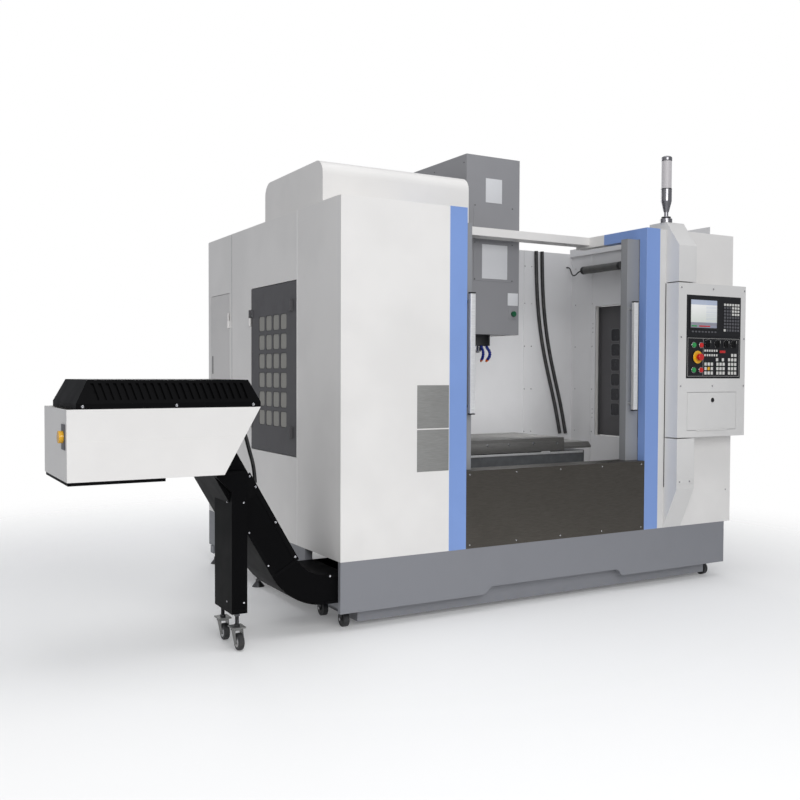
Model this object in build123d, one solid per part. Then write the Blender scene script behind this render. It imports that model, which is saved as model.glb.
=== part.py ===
from build123d import *
import math
import os

# A vertical machining centre with its sheet-metal enclosure, chip conveyor and operator pendant.
# Millimetres, +X to the operator's right, +Y away from the operator, +Z up, floor at Z = 0.
# Everything is drawn from the enclosure's front left lower corner, then moved so that the
# origin is on the floor under the middle of the whole machine.

# Enclosure
WIDTH = 2600.0
DEPTH = 1898.0
PANEL_BOTTOM = 330.0
PANEL_TOP = 2026.0
SHEET = 3.0
FLANGE = 40.0
SEAM = 2.0
FRONT_SEAM_Y = 505.0
RIGHT_WALL_X = WIDTH - 50.0
BACK_WALL_Y = 1402.0

# Door opening and the strips beside it
OPENING_LEFT = 697.0
OPENING_RIGHT = WIDTH - 697.0
SILL_TOP = 720.0
STRIP_WIDTH = 102.0
STRIP_DEPTH = 55.0
ROOF_RAIL_BOTTOM = 1968.0
ROOF_RAIL_WIDTH = 60.0
ROOF_RAIL_END_Y = 600.0
BEAM_FRONT_Y = 480.0
BEAM_HEIGHT = 46.0
TRACK_FRONT_Y = 66.0
TRACK_WIDTH = 38.0

# Sliding doors
DOOR_WIDTH = 615.0
DOOR_FRONT_Y = 60.0
DOOR_THICKNESS = 50.0
DOOR_TOP = 1965.0
DOOR_STILE = 90.0
DOOR_RAIL = 100.0
DOOR_RUNNING_GAP = 0.3
LEFT_DOOR_EDGE = 765.0
RIGHT_DOOR_EDGE = OPENING_RIGHT - 89.0
PANE = 6.0
PANE_REBATE = 10.0
HANDLE_WIDTH = 30.0
HANDLE_BOTTOM = 1007.0
HANDLE_TOP = 1608.0
HANDLE_REACH = 50.0
HANDLE_INSET = 10.0

# Service doors in the side walls
SERVICE_FRONT_Y = 508.0
SERVICE_BACK_Y = 1147.0
SERVICE_BOTTOM = 777.0
SERVICE_TOP = 1680.0
SERVICE_GAP = 4.0
SERVICE_THICKNESS = 25.0
WINDOW_SIZE = 84.0
WINDOW_RADIUS = 16.0
WINDOW_COLUMNS = 4
WINDOW_ROWS = 6
WINDOW_PITCH = 102.5
WINDOW_FRONT_Y = 678.0
WINDOW_LOWEST_Z = 963.0
HINGE_OFFSET = 8.0
HINGE_RADIUS = 7.0
HINGE_HEIGHT = 45.0
HINGE_GAP = 0.5
LATCH_INSET = 60.0
LATCH_REACH = 16.0

# Rear access door in the left side
ACCESS_FRONT_Y = 1510.0
ACCESS_BACK_Y = 1854.0
ACCESS_BOTTOM = 600.0
ACCESS_TOP = 1683.0

# Front skirt, coolant tank and lower frame
SKIRT_BOTTOM = 88.0
SKIRT_DEPTH = 24.0
SKIRT_RIGHT = WIDTH - 48.0
NOTCH_LEFT = 817.0
NOTCH_RIGHT = SKIRT_RIGHT - 816.0
NOTCH_RISE = 37.0
NOTCH_SLOPE = 38.0
NOTCH_RADIUS = 30.0
TANK_BOTTOM = 26.0
TANK_TOP = 137.0
TANK_WING = 98.0
TANK_FRONT_Y = 60.0
TANK_BACK_Y = 400.0
TANK_LEFT = 120.0
TANK_RIGHT = SKIRT_RIGHT - 105.0
LOWER_FRAME_BOTTOM = 113.0
FOOT_RADIUS = 36.0
FOOT_INSET = 35.0
STUD_RADIUS = 8.0

# Casters, the same under the tank and under the conveyor's leg
WHEEL_RADIUS = 37.0
WHEEL_WIDTH = 26.0
CASTER_HEIGHT = 98.0
CASTER_TRAIL = 28.0

# Bed, column and travels
SPINDLE_X = 1289.0
SPINDLE_Y = 813.0
BED_HALF_WIDTH = 350.0
BED_FRONT_Y = 415.0
BED_BACK_Y = 1960.0
BED_BOTTOM = 60.0
BED_TOP = 480.0
BED_SEAT_Y = 1350.0
BED_WALL = 60.0
RAIL_HEIGHT = 40.0
RAIL_WIDTH = 60.0
BED_RAIL_SPREAD = 230.0
COLUMN_HALF_WIDTH = 300.0
COLUMN_FRONT_Y = 1400.0
COLUMN_BACK_Y = 1920.0
COLUMN_FOOT = 500.0
COLUMN_TOP = 2250.0
COLUMN_RAIL_SPREAD = 220.0
CORE_HALF_WIDTH = 235.0
CORE_HEIGHT = 430.0
COLUMN_RAIL_DEPTH = 27.0
SLIDE_GAP = 0.3
SCREW_RADIUS = 16.0
JOURNAL_RADIUS = 12.0
RUNNING_FIT = 0.05
NUT_CLEARANCE = 0.5
NUT_RADIUS = 32.0
TROUGH_HALF_WIDTH = 80.0
Y_SCREW_Z = 430.0
X_SCREW_Z = 655.0
Z_SCREW_Y = 1450.0
MOTOR_SIZE = 130.0
MOTOR_LENGTH = 170.0

# Table and saddle
TABLE_LENGTH = 1000.0
TABLE_DEPTH = 500.0
TABLE_TOP = 822.0
TABLE_THICKNESS = 80.0
SLOT_COUNT = 5
SLOT_PITCH = 100.0
SLOT_WIDTH = 18.0
SLOT_NECK = 20.0
SLOT_T_WIDTH = 30.0
SLOT_T_HEIGHT = 13.0
SADDLE_LENGTH = 1300.0
SADDLE_BOTTOM = 560.0
SADDLE_TOP = 690.0
TABLE_RAIL_SPREAD = 180.0
TABLE_RAIL_WIDTH = 45.0
TABLE_RAIL_HEIGHT = 35.0
SHOE_WIDTH = 96.0
SHOE_LENGTH = 110.0
TABLE_SHOE_REACH = 240.0
TABLE_COVER_LENGTH = 215.0

# Spindle head and its cover
NOSE_Z = 1340.0
NOSE_HEIGHT = 34.0
NOSE_RADIUS = 60.0
SPINDLE_RADIUS = 40.0
SPINDLE_TOP = 1880.0
TAPER_RADIUS = 22.2
TAPER_DEPTH = 68.0
COVER_LEFT = 1100.0
COVER_RIGHT = 1477.0
COVER_FRONT_Y = 613.0
COVER_BACK_Y = 1330.0
COVER_BOTTOM = 1436.0
COVER_TOP = 2465.0
HEAD_HALF_WIDTH = 160.0
HEAD_FRONT_Y = 690.0
HEAD_TOP = 1950.0
NOSE_HOUSING_RADIUS = 100.0

# Tool magazine and changer
MAGAZINE_Y = 858.5
MAGAZINE_Z = 1900.0
POT_CIRCLE = 340.0
POT_RADIUS = 36.0
POT_LENGTH = 95.0
POT_COUNT = 24
DISC_LEFT = 470.0
DISC_THICKNESS = 20.0
HUMP_LEFT = 126.0
HUMP_RIGHT = 1017.0
HUMP_FRONT_Y = 467.0
HUMP_BACK_Y = 1250.0
HUMP_TOP = 2297.0
HUMP_RADIUS = 75.0
HUMP_SKIRT_Z = 1480.0
CHANGER_PLATE_X = 850.0
ARM_X = 1019.0
ARM_REACH = 270.0
ARM_BOTTOM = 1236.0
ARM_THICKNESS = 35.0
CAM_BOX_BOTTOM = 1345.0
HOUSING_BOTTOM = 1560.0

# Control post, right cabinet and pendant
POST_LEFT = WIDTH - 550.0
POST_RIGHT = POST_LEFT + 137.0
POST_FRONT_Y = -100.0
POST_TOP = 2070.0
POST_CHAMFER_Z = 1930.0
POST_UNDERCUT_Z = 560.0
PENDANT_RIGHT = WIDTH - 3.0
PENDANT_BOTTOM = 850.0
PENDANT_TOP = 1722.0
PENDANT_SEAM = 6.0
PANEL_LEFT = PENDANT_RIGHT - 484.0
PANEL_RIGHT = PANEL_LEFT + 443.0
PANEL_SPLIT_Z = 1424.0
PANEL_LOW_Z = 1184.0
PANEL_HIGH_Z = 1656.0
PLATE = 4.0
SCREEN_WIDTH = 211.0
SCREEN_HEIGHT = 158.0
SCREEN_X = PANEL_LEFT + 139.0
SCREEN_Z = 1551.0
KEYBOARD_LEFT = PANEL_LEFT + 299.0
BUTTON_RADIUS = 14.0
BUTTON_TRAVEL = 3.0
BUTTON_CLEARANCE = 0.5
LEFT_BUTTON_X = PANEL_LEFT + 57.0
RIGHT_BUTTON_X = PANEL_LEFT + 115.0
UPPER_BUTTON_Z = 1373.0
LOWER_BUTTON_Z = 1232.0
STOP_X = PANEL_LEFT + 87.0
STOP_Z = 1305.0
STOP_RADIUS = 20.0
STOP_RING_RADIUS = 36.0
STOP_TRAVEL = 6.0
STOP_REACH = 36.0
KNOB_RADIUS = 20.0
KNOB_Z = 1382.0
KNOB_XS = (PANEL_LEFT + 173.0, PANEL_LEFT + 252.0, PANEL_LEFT + 324.0, PANEL_LEFT + 387.0)
KEY_SIZE = 17.0
KEY_PITCH = 25.5
STORAGE_LEFT = PANEL_LEFT + 12.0
STORAGE_RIGHT = STORAGE_LEFT + 401.0
STORAGE_BOTTOM = 888.0
STORAGE_TOP = 1106.0
STORAGE_DEPTH = 78.0
STORAGE_GAP = 2.0
BARREL_RADIUS = 3.0

# Signal tower and work lamp
TOWER_X = POST_LEFT + 28.0
TOWER_Y = 30.0
TOWER_LENS_RADIUS = 27.0
TOWER_LENS_BOTTOM = 2262.0
TOWER_TOP = 2440.0
LAMP_X = RIGHT_WALL_X - 50.0
LAMP_FRONT_Y = 835.0
LAMP_BACK_Y = 1226.0
LAMP_Z = 1934.0
LAMP_RADIUS = 27.0
HOSE_RADIUS = 13.0
LEAD_Y = 200.0

# Chip conveyor
DUCT_FRONT_Y = 30.0
DUCT_BACK_Y = 388.0
DUCT_HEIGHT = 138.0
DUCT_ANGLE = 60.0
DUCT_BEND_X = -60.0
DUCT_BEND_RADIUS = 165.0
INCLINE_LENGTH = 720.0
INTAKE_RIGHT = TANK_RIGHT - 7.0
CONVEYOR_FRONT_Y = -118.0
CONVEYOR_LEFT = -1230.0
CONVEYOR_RIGHT = -437.0
CONVEYOR_TAPER = 161.0
CONVEYOR_BOTTOM = 780.0
CONVEYOR_TOP = 1063.0
VENT_TOP = 1178.0
VENT_SLOPE = 48.0
VENT_FLANGE = 22.0
VENT_SLOTS = 22
VENT_SLOT_WIDTH = 12.0
VENT_INSET = 35.0
CHUTE_INSET = 60.0
CHUTE_LENGTH = 330.0
SWITCH_Y = -58.0
SWITCH_Z = 955.0
SWITCH_REACH = 22.0
LEG_LEFT = -525.0
LEG_RIGHT = -454.0
LEG_BACK_Y = 228.0
LEG_BOTTOM = 153.0
LEG_TOP = 690.0
CASTER_X = -497.0
CASTER_YS = (14.0, 200.0)

# Electrical cabinet behind the column
CABINET_LEFT = 560.0
CABINET_RIGHT = CABINET_LEFT + 1520.0
CABINET_FRONT_Y = DEPTH + 64.0
CABINET_BACK_Y = CABINET_FRONT_Y + 298.0
CABINET_BOTTOM = 360.0
CABINET_TOP = 1990.0

# The origin is on the floor under the middle of the whole machine
ORIGIN_X = (CONVEYOR_LEFT - SWITCH_REACH + WIDTH + LATCH_REACH) / 2
ORIGIN_Y = (POST_FRONT_Y - STOP_REACH + CABINET_BACK_Y) / 2


# Basic forms
def block(x0, x1, y0, y1, z0, z1):
    middle = Pos((x0 + x1) / 2, (y0 + y1) / 2, (z0 + z1) / 2)
    return middle * Box(x1 - x0, y1 - y0, z1 - z0)


def rod_x(x0, x1, y, z, radius):
    return Pos((x0 + x1) / 2, y, z) * Rot(0, 90, 0) * Cylinder(radius, x1 - x0)


def rod_y(y0, y1, x, z, radius):
    return Pos(x, (y0 + y1) / 2, z) * Rot(90, 0, 0) * Cylinder(radius, y1 - y0)


def rod_z(z0, z1, x, y, radius):
    return Pos(x, y, (z0 + z1) / 2) * Cylinder(radius, z1 - z0)


def prism_x(outline, x0, x1):
    face = Plane.YZ.offset(x0) * make_face(Polyline(*outline, close=True))
    return extrude(face, x1 - x0)


def prism_y(outline, y0, y1):
    face = Plane.XZ.offset(-y1) * make_face(Polyline(*outline, close=True))
    return extrude(face, y1 - y0)


def prism_z(outline, z0, z1):
    face = Plane.XY.offset(z0) * make_face(Polyline(*outline, close=True))
    return extrude(face, z1 - z0)


def mirrored(solid, x):
    """The same solid on the other side of the plane at x."""
    return mirror(solid, Plane.YZ.offset(x))


def mirrored_in_machine(solid):
    return mirrored(solid, WIDTH / 2)


# Bed, column, saddle and table
def base_casting():
    left = SPINDLE_X - BED_HALF_WIDTH
    right = SPINDLE_X + BED_HALF_WIDTH
    bed = block(left, right, BED_FRONT_Y, BED_BACK_Y, BED_BOTTOM, BED_TOP)
    bed += block(left - 50, right + 50, BED_SEAT_Y, BED_BACK_Y, BED_BOTTOM, COLUMN_FOOT)
    cavity_top = Y_SCREW_Z - 100
    bed -= block(left + BED_WALL, right - BED_WALL, BED_FRONT_Y + BED_WALL, BED_BACK_Y - BED_WALL,
                 BED_BOTTOM - 1, cavity_top)
    for side in (-1, 1):
        x = SPINDLE_X + side * BED_RAIL_SPREAD
        bed += block(x - RAIL_WIDTH / 2, x + RAIL_WIDTH / 2, BED_FRONT_Y, BED_SEAT_Y, BED_TOP,
                     BED_TOP + RAIL_HEIGHT)
    # The ball screw's trough, its bearings and the pocket of its motor under the column
    bed -= block(SPINDLE_X - TROUGH_HALF_WIDTH, SPINDLE_X + TROUGH_HALF_WIDTH, BED_FRONT_Y + BED_WALL,
                 BED_SEAT_Y - BED_WALL, Y_SCREW_Z - NUT_RADIUS - 20, BED_TOP + 1)
    bed -= rod_y(BED_FRONT_Y + BED_WALL / 2, BED_SEAT_Y + 1, SPINDLE_X, Y_SCREW_Z,
                 JOURNAL_RADIUS + RUNNING_FIT)
    bed -= block(SPINDLE_X - TROUGH_HALF_WIDTH, SPINDLE_X + TROUGH_HALF_WIDTH, BED_SEAT_Y,
                 BED_SEAT_Y + MOTOR_LENGTH + 60, Y_SCREW_Z - TROUGH_HALF_WIDTH, COLUMN_FOOT + 1)
    # The motor, flanged to the front wall of its pocket
    bed += servo_motor_along_y(BED_SEAT_Y, SPINDLE_X, Y_SCREW_Z)
    return bed


def servo_motor_along_y(y, x, z):
    half = MOTOR_SIZE / 2
    body = block(x - half, x + half, y, y + MOTOR_LENGTH, z - half, z + half)
    return body - rod_y(y - 1, y + MOTOR_LENGTH - 20, x, z, JOURNAL_RADIUS + 4)


def servo_motor_along_x(x, y, z):
    half = MOTOR_SIZE / 2
    body = block(x, x + MOTOR_LENGTH, y - half, y + half, z - half, z + half)
    return body - rod_x(x - 1, x + MOTOR_LENGTH - 20, y, z, JOURNAL_RADIUS + 4)


def servo_motor_on_top(z, x, y):
    half = MOTOR_SIZE / 2
    body = block(x - half, x + half, y - half, y + half, z, z + MOTOR_LENGTH)
    return body - rod_z(z - 1, z + MOTOR_LENGTH - 20, x, y, JOURNAL_RADIUS + 4)


def y_ball_screw():
    start = BED_FRONT_Y + BED_WALL
    end = BED_SEAT_Y - BED_WALL
    screw = rod_y(start + 1, end - 1, SPINDLE_X, Y_SCREW_Z, SCREW_RADIUS)
    return screw + rod_y(start - 25, BED_SEAT_Y + 40, SPINDLE_X, Y_SCREW_Z, JOURNAL_RADIUS)


def column():
    left = SPINDLE_X - COLUMN_HALF_WIDTH
    right = SPINDLE_X + COLUMN_HALF_WIDTH
    outline = [(COLUMN_FRONT_Y, COLUMN_FOOT), (COLUMN_BACK_Y, COLUMN_FOOT),
               (COLUMN_BACK_Y, COLUMN_FOOT + 500), (COLUMN_BACK_Y - 140, COLUMN_TOP),
               (COLUMN_FRONT_Y, COLUMN_TOP)]
    body = prism_x(outline, left, right)
    body += block(left - 40, right + 40, COLUMN_FRONT_Y, COLUMN_BACK_Y + 30, COLUMN_FOOT, COLUMN_FOOT + 60)
    for side in (-1, 1):
        x = SPINDLE_X + side * COLUMN_RAIL_SPREAD
        body += block(x - RAIL_WIDTH / 2, x + RAIL_WIDTH / 2, COLUMN_FRONT_Y - COLUMN_RAIL_DEPTH,
                      COLUMN_FRONT_Y, COLUMN_FOOT + 200, COLUMN_TOP - 50)
    # The channel of the Z screw, with its bearing walls at both ends
    body -= block(SPINDLE_X - TROUGH_HALF_WIDTH, SPINDLE_X + TROUGH_HALF_WIDTH, COLUMN_FRONT_Y - 1,
                  Z_SCREW_Y + NUT_RADIUS + 20, COLUMN_FOOT + 300, COLUMN_TOP - 60)
    body -= rod_z(COLUMN_FOOT + 260, COLUMN_TOP + 1, SPINDLE_X, Z_SCREW_Y, JOURNAL_RADIUS + RUNNING_FIT)
    # Cored openings in the back, as the casting has between its ribs
    for level in range(3):
        z = COLUMN_FOOT + 130 + level * (CORE_HEIGHT + 60)
        body -= block(SPINDLE_X - CORE_HALF_WIDTH, SPINDLE_X + CORE_HALF_WIDTH, Z_SCREW_Y + NUT_RADIUS + 60,
                      COLUMN_BACK_Y + 1, z, z + CORE_HEIGHT)
    return body + servo_motor_on_top(COLUMN_TOP, SPINDLE_X, Z_SCREW_Y)


def z_ball_screw():
    bottom = COLUMN_FOOT + 300
    top = COLUMN_TOP - 60
    screw = rod_z(bottom + 1, top - 1, SPINDLE_X, Z_SCREW_Y, SCREW_RADIUS)
    return screw + rod_z(bottom - 35, COLUMN_TOP + 40, SPINDLE_X, Z_SCREW_Y, JOURNAL_RADIUS)


def guide_shoe_along_y(x, y0, y1, z_rail, height, z_top, width):
    shoe = block(x - width / 2, x + width / 2, y0, y1, z_rail + 12, z_top)
    slot = RAIL_WIDTH / 2 + SLIDE_GAP
    return shoe - block(x - slot, x + slot, y0 - 1, y1 + 1, z_rail, z_rail + height + SLIDE_GAP)


def saddle():
    left = SPINDLE_X - SADDLE_LENGTH / 2
    right = SPINDLE_X + SADDLE_LENGTH / 2
    front = SPINDLE_Y - TABLE_DEPTH / 2
    back = SPINDLE_Y + TABLE_DEPTH / 2
    body = block(left, right, front + 3, back, SADDLE_BOTTOM, SADDLE_TOP)
    for side in (-1, 1):
        x = SPINDLE_X + side * BED_RAIL_SPREAD
        for y in (front + 20, back - 20 - SHOE_LENGTH):
            body += guide_shoe_along_y(x, y, y + SHOE_LENGTH, BED_TOP, RAIL_HEIGHT, SADDLE_BOTTOM,
                                       SHOE_WIDTH)
        y = SPINDLE_Y + side * TABLE_RAIL_SPREAD
        body += block(left, right, y - TABLE_RAIL_WIDTH / 2, y + TABLE_RAIL_WIDTH / 2, SADDLE_TOP,
                      SADDLE_TOP + TABLE_RAIL_HEIGHT)
    # The nut of the Y screw hangs below, the X screw lies in a trough on top
    body += block(SPINDLE_X - 45, SPINDLE_X + 45, SPINDLE_Y - 50, SPINDLE_Y + 50,
                  Y_SCREW_Z - NUT_RADIUS, SADDLE_BOTTOM)
    body -= rod_y(SPINDLE_Y - 51, SPINDLE_Y + 51, SPINDLE_X, Y_SCREW_Z, SCREW_RADIUS + NUT_CLEARANCE)
    body -= block(left + 45, right - 45, SPINDLE_Y - 60, SPINDLE_Y + 60, X_SCREW_Z - NUT_RADIUS - 12,
                  SADDLE_TOP + 1)
    body -= rod_x(left + 15, right + 1, SPINDLE_Y, X_SCREW_Z, JOURNAL_RADIUS + RUNNING_FIT)
    body += servo_motor_along_x(right, SPINDLE_Y, X_SCREW_Z)
    # Front guard plate under the table
    body += block(left, right, front, front + 3, SADDLE_BOTTOM, TABLE_TOP - TABLE_THICKNESS - 6)
    return body


def x_ball_screw():
    left = SPINDLE_X - SADDLE_LENGTH / 2
    right = SPINDLE_X + SADDLE_LENGTH / 2
    screw = rod_x(left + 46, right - 46, SPINDLE_Y, X_SCREW_Z, SCREW_RADIUS)
    return screw + rod_x(left + 20, right + 40, SPINDLE_Y, X_SCREW_Z, JOURNAL_RADIUS)


def t_slot(y):
    neck = SLOT_WIDTH / 2
    tee = SLOT_T_WIDTH / 2
    low = TABLE_TOP - SLOT_NECK
    outline = [(y - neck, TABLE_TOP + 1), (y - neck, low), (y - tee, low), (y - tee, low - SLOT_T_HEIGHT),
               (y + tee, low - SLOT_T_HEIGHT), (y + tee, low), (y + neck, low), (y + neck, TABLE_TOP + 1)]
    half = TABLE_LENGTH / 2 + 1
    return prism_x(outline, SPINDLE_X - half, SPINDLE_X + half)


def table():
    left = SPINDLE_X - TABLE_LENGTH / 2
    right = SPINDLE_X + TABLE_LENGTH / 2
    front = SPINDLE_Y - TABLE_DEPTH / 2
    back = SPINDLE_Y + TABLE_DEPTH / 2
    underside = TABLE_TOP - TABLE_THICKNESS
    plate = block(left, right, front, back, underside, TABLE_TOP)
    for row in range(SLOT_COUNT):
        plate -= t_slot(SPINDLE_Y + (row - (SLOT_COUNT - 1) / 2) * SLOT_PITCH)
    for side in (-1, 1):
        y = SPINDLE_Y + side * TABLE_RAIL_SPREAD
        for x in (SPINDLE_X - TABLE_SHOE_REACH, SPINDLE_X + TABLE_SHOE_REACH - SHOE_LENGTH):
            shoe = block(x, x + SHOE_LENGTH, y - SHOE_WIDTH / 2, y + SHOE_WIDTH / 2,
                         SADDLE_TOP + 12, underside)
            groove = TABLE_RAIL_WIDTH / 2 + SLIDE_GAP
            plate += shoe - block(x - 1, x + SHOE_LENGTH + 1, y - groove, y + groove, SADDLE_TOP,
                                  SADDLE_TOP + TABLE_RAIL_HEIGHT + SLIDE_GAP)
    # The nut of the X screw reaches down into the saddle's trough
    plate += block(SPINDLE_X - 50, SPINDLE_X + 50, SPINDLE_Y - 40, SPINDLE_Y + 40,
                   X_SCREW_Z - NUT_RADIUS, underside)
    plate -= rod_x(SPINDLE_X - 51, SPINDLE_X + 51, SPINDLE_Y, X_SCREW_Z, SCREW_RADIUS + NUT_CLEARANCE)
    for cover in table_end_covers():
        plate += cover
    return plate


def table_end_covers():
    """Bent plates on both ends of the table, over the saddle's rails and motor."""
    front = SPINDLE_Y - TABLE_DEPTH / 2
    back = SPINDLE_Y + TABLE_DEPTH / 2
    right = SPINDLE_X + TABLE_LENGTH / 2
    # Just under the T-slots, so that a nut slides in past the cover
    top = TABLE_TOP - SLOT_NECK - SLOT_T_HEIGHT - 1
    low = TABLE_TOP - 70
    outline = [(front, low), (front, top - 24), (front + 24, top), (back - 24, top), (back, top - 24),
               (back, low), (back - SHEET, low), (back - SHEET, top - 26), (back - 25, top - SHEET),
               (front + 25, top - SHEET), (front + SHEET, top - 26), (front + SHEET, low)]
    cover = prism_x(outline, right, right + TABLE_COVER_LENGTH)
    return [cover, mirrored(cover, SPINDLE_X)]


# Spindle head
def head_casting():
    left = SPINDLE_X - HEAD_HALF_WIDTH
    right = SPINDLE_X + HEAD_HALF_WIDTH
    rear = COLUMN_FRONT_Y - COLUMN_RAIL_DEPTH - SLIDE_GAP
    bottom = COVER_BOTTOM + SHEET
    body = block(left, right, HEAD_FRONT_Y, rear - 60, bottom, HEAD_TOP)
    body -= block(left + 40, right - 40, SPINDLE_Y + 180, rear - 150, bottom - 1, HEAD_TOP - 60)
    body += rod_z(NOSE_Z + NOSE_HEIGHT, bottom, SPINDLE_X, SPINDLE_Y, NOSE_HOUSING_RADIUS)
    body -= rod_z(NOSE_Z + NOSE_HEIGHT - 1, SPINDLE_TOP + 5, SPINDLE_X, SPINDLE_Y,
                  SPINDLE_RADIUS + RUNNING_FIT)
    # The back plate carries the guide shoes on the column's rails
    spread = COLUMN_RAIL_SPREAD + 50
    body += block(SPINDLE_X - spread, SPINDLE_X + spread, rear - 60, rear, bottom + 30, HEAD_TOP)
    for side in (-1, 1):
        x = SPINDLE_X + side * COLUMN_RAIL_SPREAD
        inner = RAIL_WIDTH / 2 + SLIDE_GAP
        for edge in (-1, 1):
            x0 = x + edge * inner
            x1 = x + edge * (inner + 18)
            body += block(min(x0, x1), max(x0, x1), rear, COLUMN_FRONT_Y - 4, bottom + 60, HEAD_TOP - 60)
    # The nut of the Z screw stands back into the column's channel
    body += block(SPINDLE_X - 45, SPINDLE_X + 45, rear, Z_SCREW_Y + NUT_RADIUS, HEAD_TOP - 260, HEAD_TOP - 160)
    body -= rod_z(HEAD_TOP - 261, HEAD_TOP - 159, SPINDLE_X, Z_SCREW_Y, SCREW_RADIUS + NUT_CLEARANCE)
    return body


def spindle():
    shaft = rod_z(NOSE_Z + NOSE_HEIGHT - 0.5, SPINDLE_TOP, SPINDLE_X, SPINDLE_Y, SPINDLE_RADIUS)
    nose = rod_z(NOSE_Z, NOSE_Z + NOSE_HEIGHT - 0.5, SPINDLE_X, SPINDLE_Y, NOSE_RADIUS)
    small = TAPER_RADIUS - TAPER_DEPTH * 7 / 48
    socket = Pos(SPINDLE_X, SPINDLE_Y, NOSE_Z + TAPER_DEPTH / 2) * Cone(TAPER_RADIUS, small, TAPER_DEPTH)
    body = shaft + nose - socket
    for side in (-1, 1):
        # Drive keys across the nose
        x = SPINDLE_X + side * (TAPER_RADIUS + 10)
        body += block(x - 8, x + 8, SPINDLE_Y - 8, SPINDLE_Y + 8, NOSE_Z - 8, NOSE_Z)
    return body


def spindle_motor():
    motor = block(SPINDLE_X - 95, SPINDLE_X + 95, SPINDLE_Y - 95, SPINDLE_Y + 95, HEAD_TOP, HEAD_TOP + 30)
    for fin in range(9):
        z = HEAD_TOP + 30 + fin * 34
        motor += block(SPINDLE_X - 80, SPINDLE_X + 80, SPINDLE_Y - 80, SPINDLE_Y + 80, z, z + 22)
        motor += block(SPINDLE_X - 72, SPINDLE_X + 72, SPINDLE_Y - 72, SPINDLE_Y + 72, z + 22, z + 34)
    return motor + rod_z(HEAD_TOP + 336, HEAD_TOP + 410, SPINDLE_X, SPINDLE_Y, 76)


def head_cover():
    shell = block(COVER_LEFT, COVER_RIGHT, COVER_FRONT_Y, COVER_BACK_Y - 20, COVER_BOTTOM, COVER_TOP)
    shell -= block(COVER_LEFT + SHEET, COVER_RIGHT - SHEET, COVER_FRONT_Y + SHEET, COVER_BACK_Y,
                   COVER_BOTTOM + SHEET, COVER_TOP - SHEET)
    shell -= rod_z(COVER_BOTTOM - 1, COVER_BOTTOM + SHEET + 1, SPINDLE_X, SPINDLE_Y, NOSE_HOUSING_RADIUS)
    # Two screwed plates on the front
    for low, high in ((1745, 1972), (1978, 2185)):
        shell += block(1150, 1432, COVER_FRONT_Y - 2, COVER_FRONT_Y, low, high)
    shell += rod_y(COVER_FRONT_Y - 14, COVER_FRONT_Y, 1435, 1560, 15)
    return shell


def coolant_nozzles():
    """Segmented hoses round the spindle nose, each bent out and then in towards the tool."""
    hoses = []
    root_z = NOSE_Z + NOSE_HEIGHT
    for turn in (200, 235, 270, 305, 340):
        a = math.radians(turn)
        out_x = math.cos(a)
        out_y = math.sin(a)
        points = []
        for radius, drop in ((84, 0), (84, 12), (104, 30), (110, 54), (98, 76), (84, 90)):
            points.append((SPINDLE_X + radius * out_x, SPINDLE_Y + radius * out_y, root_z - drop))
        path = FilletPolyline(*points, radius=9)
        hoses.append(sweep(Plane(origin=points[0], z_dir=path % 0) * Circle(7), path=path))
    return hoses


# Tool magazine and changer
def changer_housing():
    column_left = SPINDLE_X - COLUMN_HALF_WIDTH
    disc_face = DISC_LEFT + DISC_THICKNESS
    body = block(CHANGER_PLATE_X, CHANGER_PLATE_X + 40, MAGAZINE_Y - 120, 1640, HOUSING_BOTTOM,
                 MAGAZINE_Z + 110)
    body += block(CHANGER_PLATE_X + 40, column_left, COLUMN_FRONT_Y + 20, 1640, 1600, MAGAZINE_Z + 50)
    body += block(CHANGER_PLATE_X, ARM_X + 66, SPINDLE_Y - 70, SPINDLE_Y + 230, CAM_BOX_BOTTOM, 1600)
    body += rod_x(disc_face + 30, CHANGER_PLATE_X, MAGAZINE_Y, MAGAZINE_Z, 60)
    body -= rod_x(disc_face + 29, CHANGER_PLATE_X - 40, MAGAZINE_Y, MAGAZINE_Z, 25 + RUNNING_FIT)
    body -= rod_z(CAM_BOX_BOTTOM - 1, CAM_BOX_BOTTOM + 125, ARM_X, SPINDLE_Y, 25 + RUNNING_FIT)
    return body


def tool_magazine():
    disc_face = DISC_LEFT + DISC_THICKNESS
    disc = rod_x(DISC_LEFT, disc_face, MAGAZINE_Y, MAGAZINE_Z, POT_CIRCLE - 12)
    disc += rod_x(disc_face, CHANGER_PLATE_X - 60, MAGAZINE_Y, MAGAZINE_Z, 25)
    disc += rod_x(disc_face, disc_face + 28, MAGAZINE_Y, MAGAZINE_Z, 70)
    pitch = 360 / POT_COUNT
    for pot in range(POT_COUNT):
        a = math.radians((pot + 0.5) * pitch)
        y = MAGAZINE_Y + POT_CIRCLE * math.sin(a)
        z = MAGAZINE_Z - POT_CIRCLE * math.cos(a)
        disc += rod_x(DISC_LEFT, DISC_LEFT + POT_LENGTH, y, z, POT_RADIUS)
        disc -= rod_x(DISC_LEFT + 20, DISC_LEFT + POT_LENGTH + 1, y, z, TAPER_RADIUS)
    return disc


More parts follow.
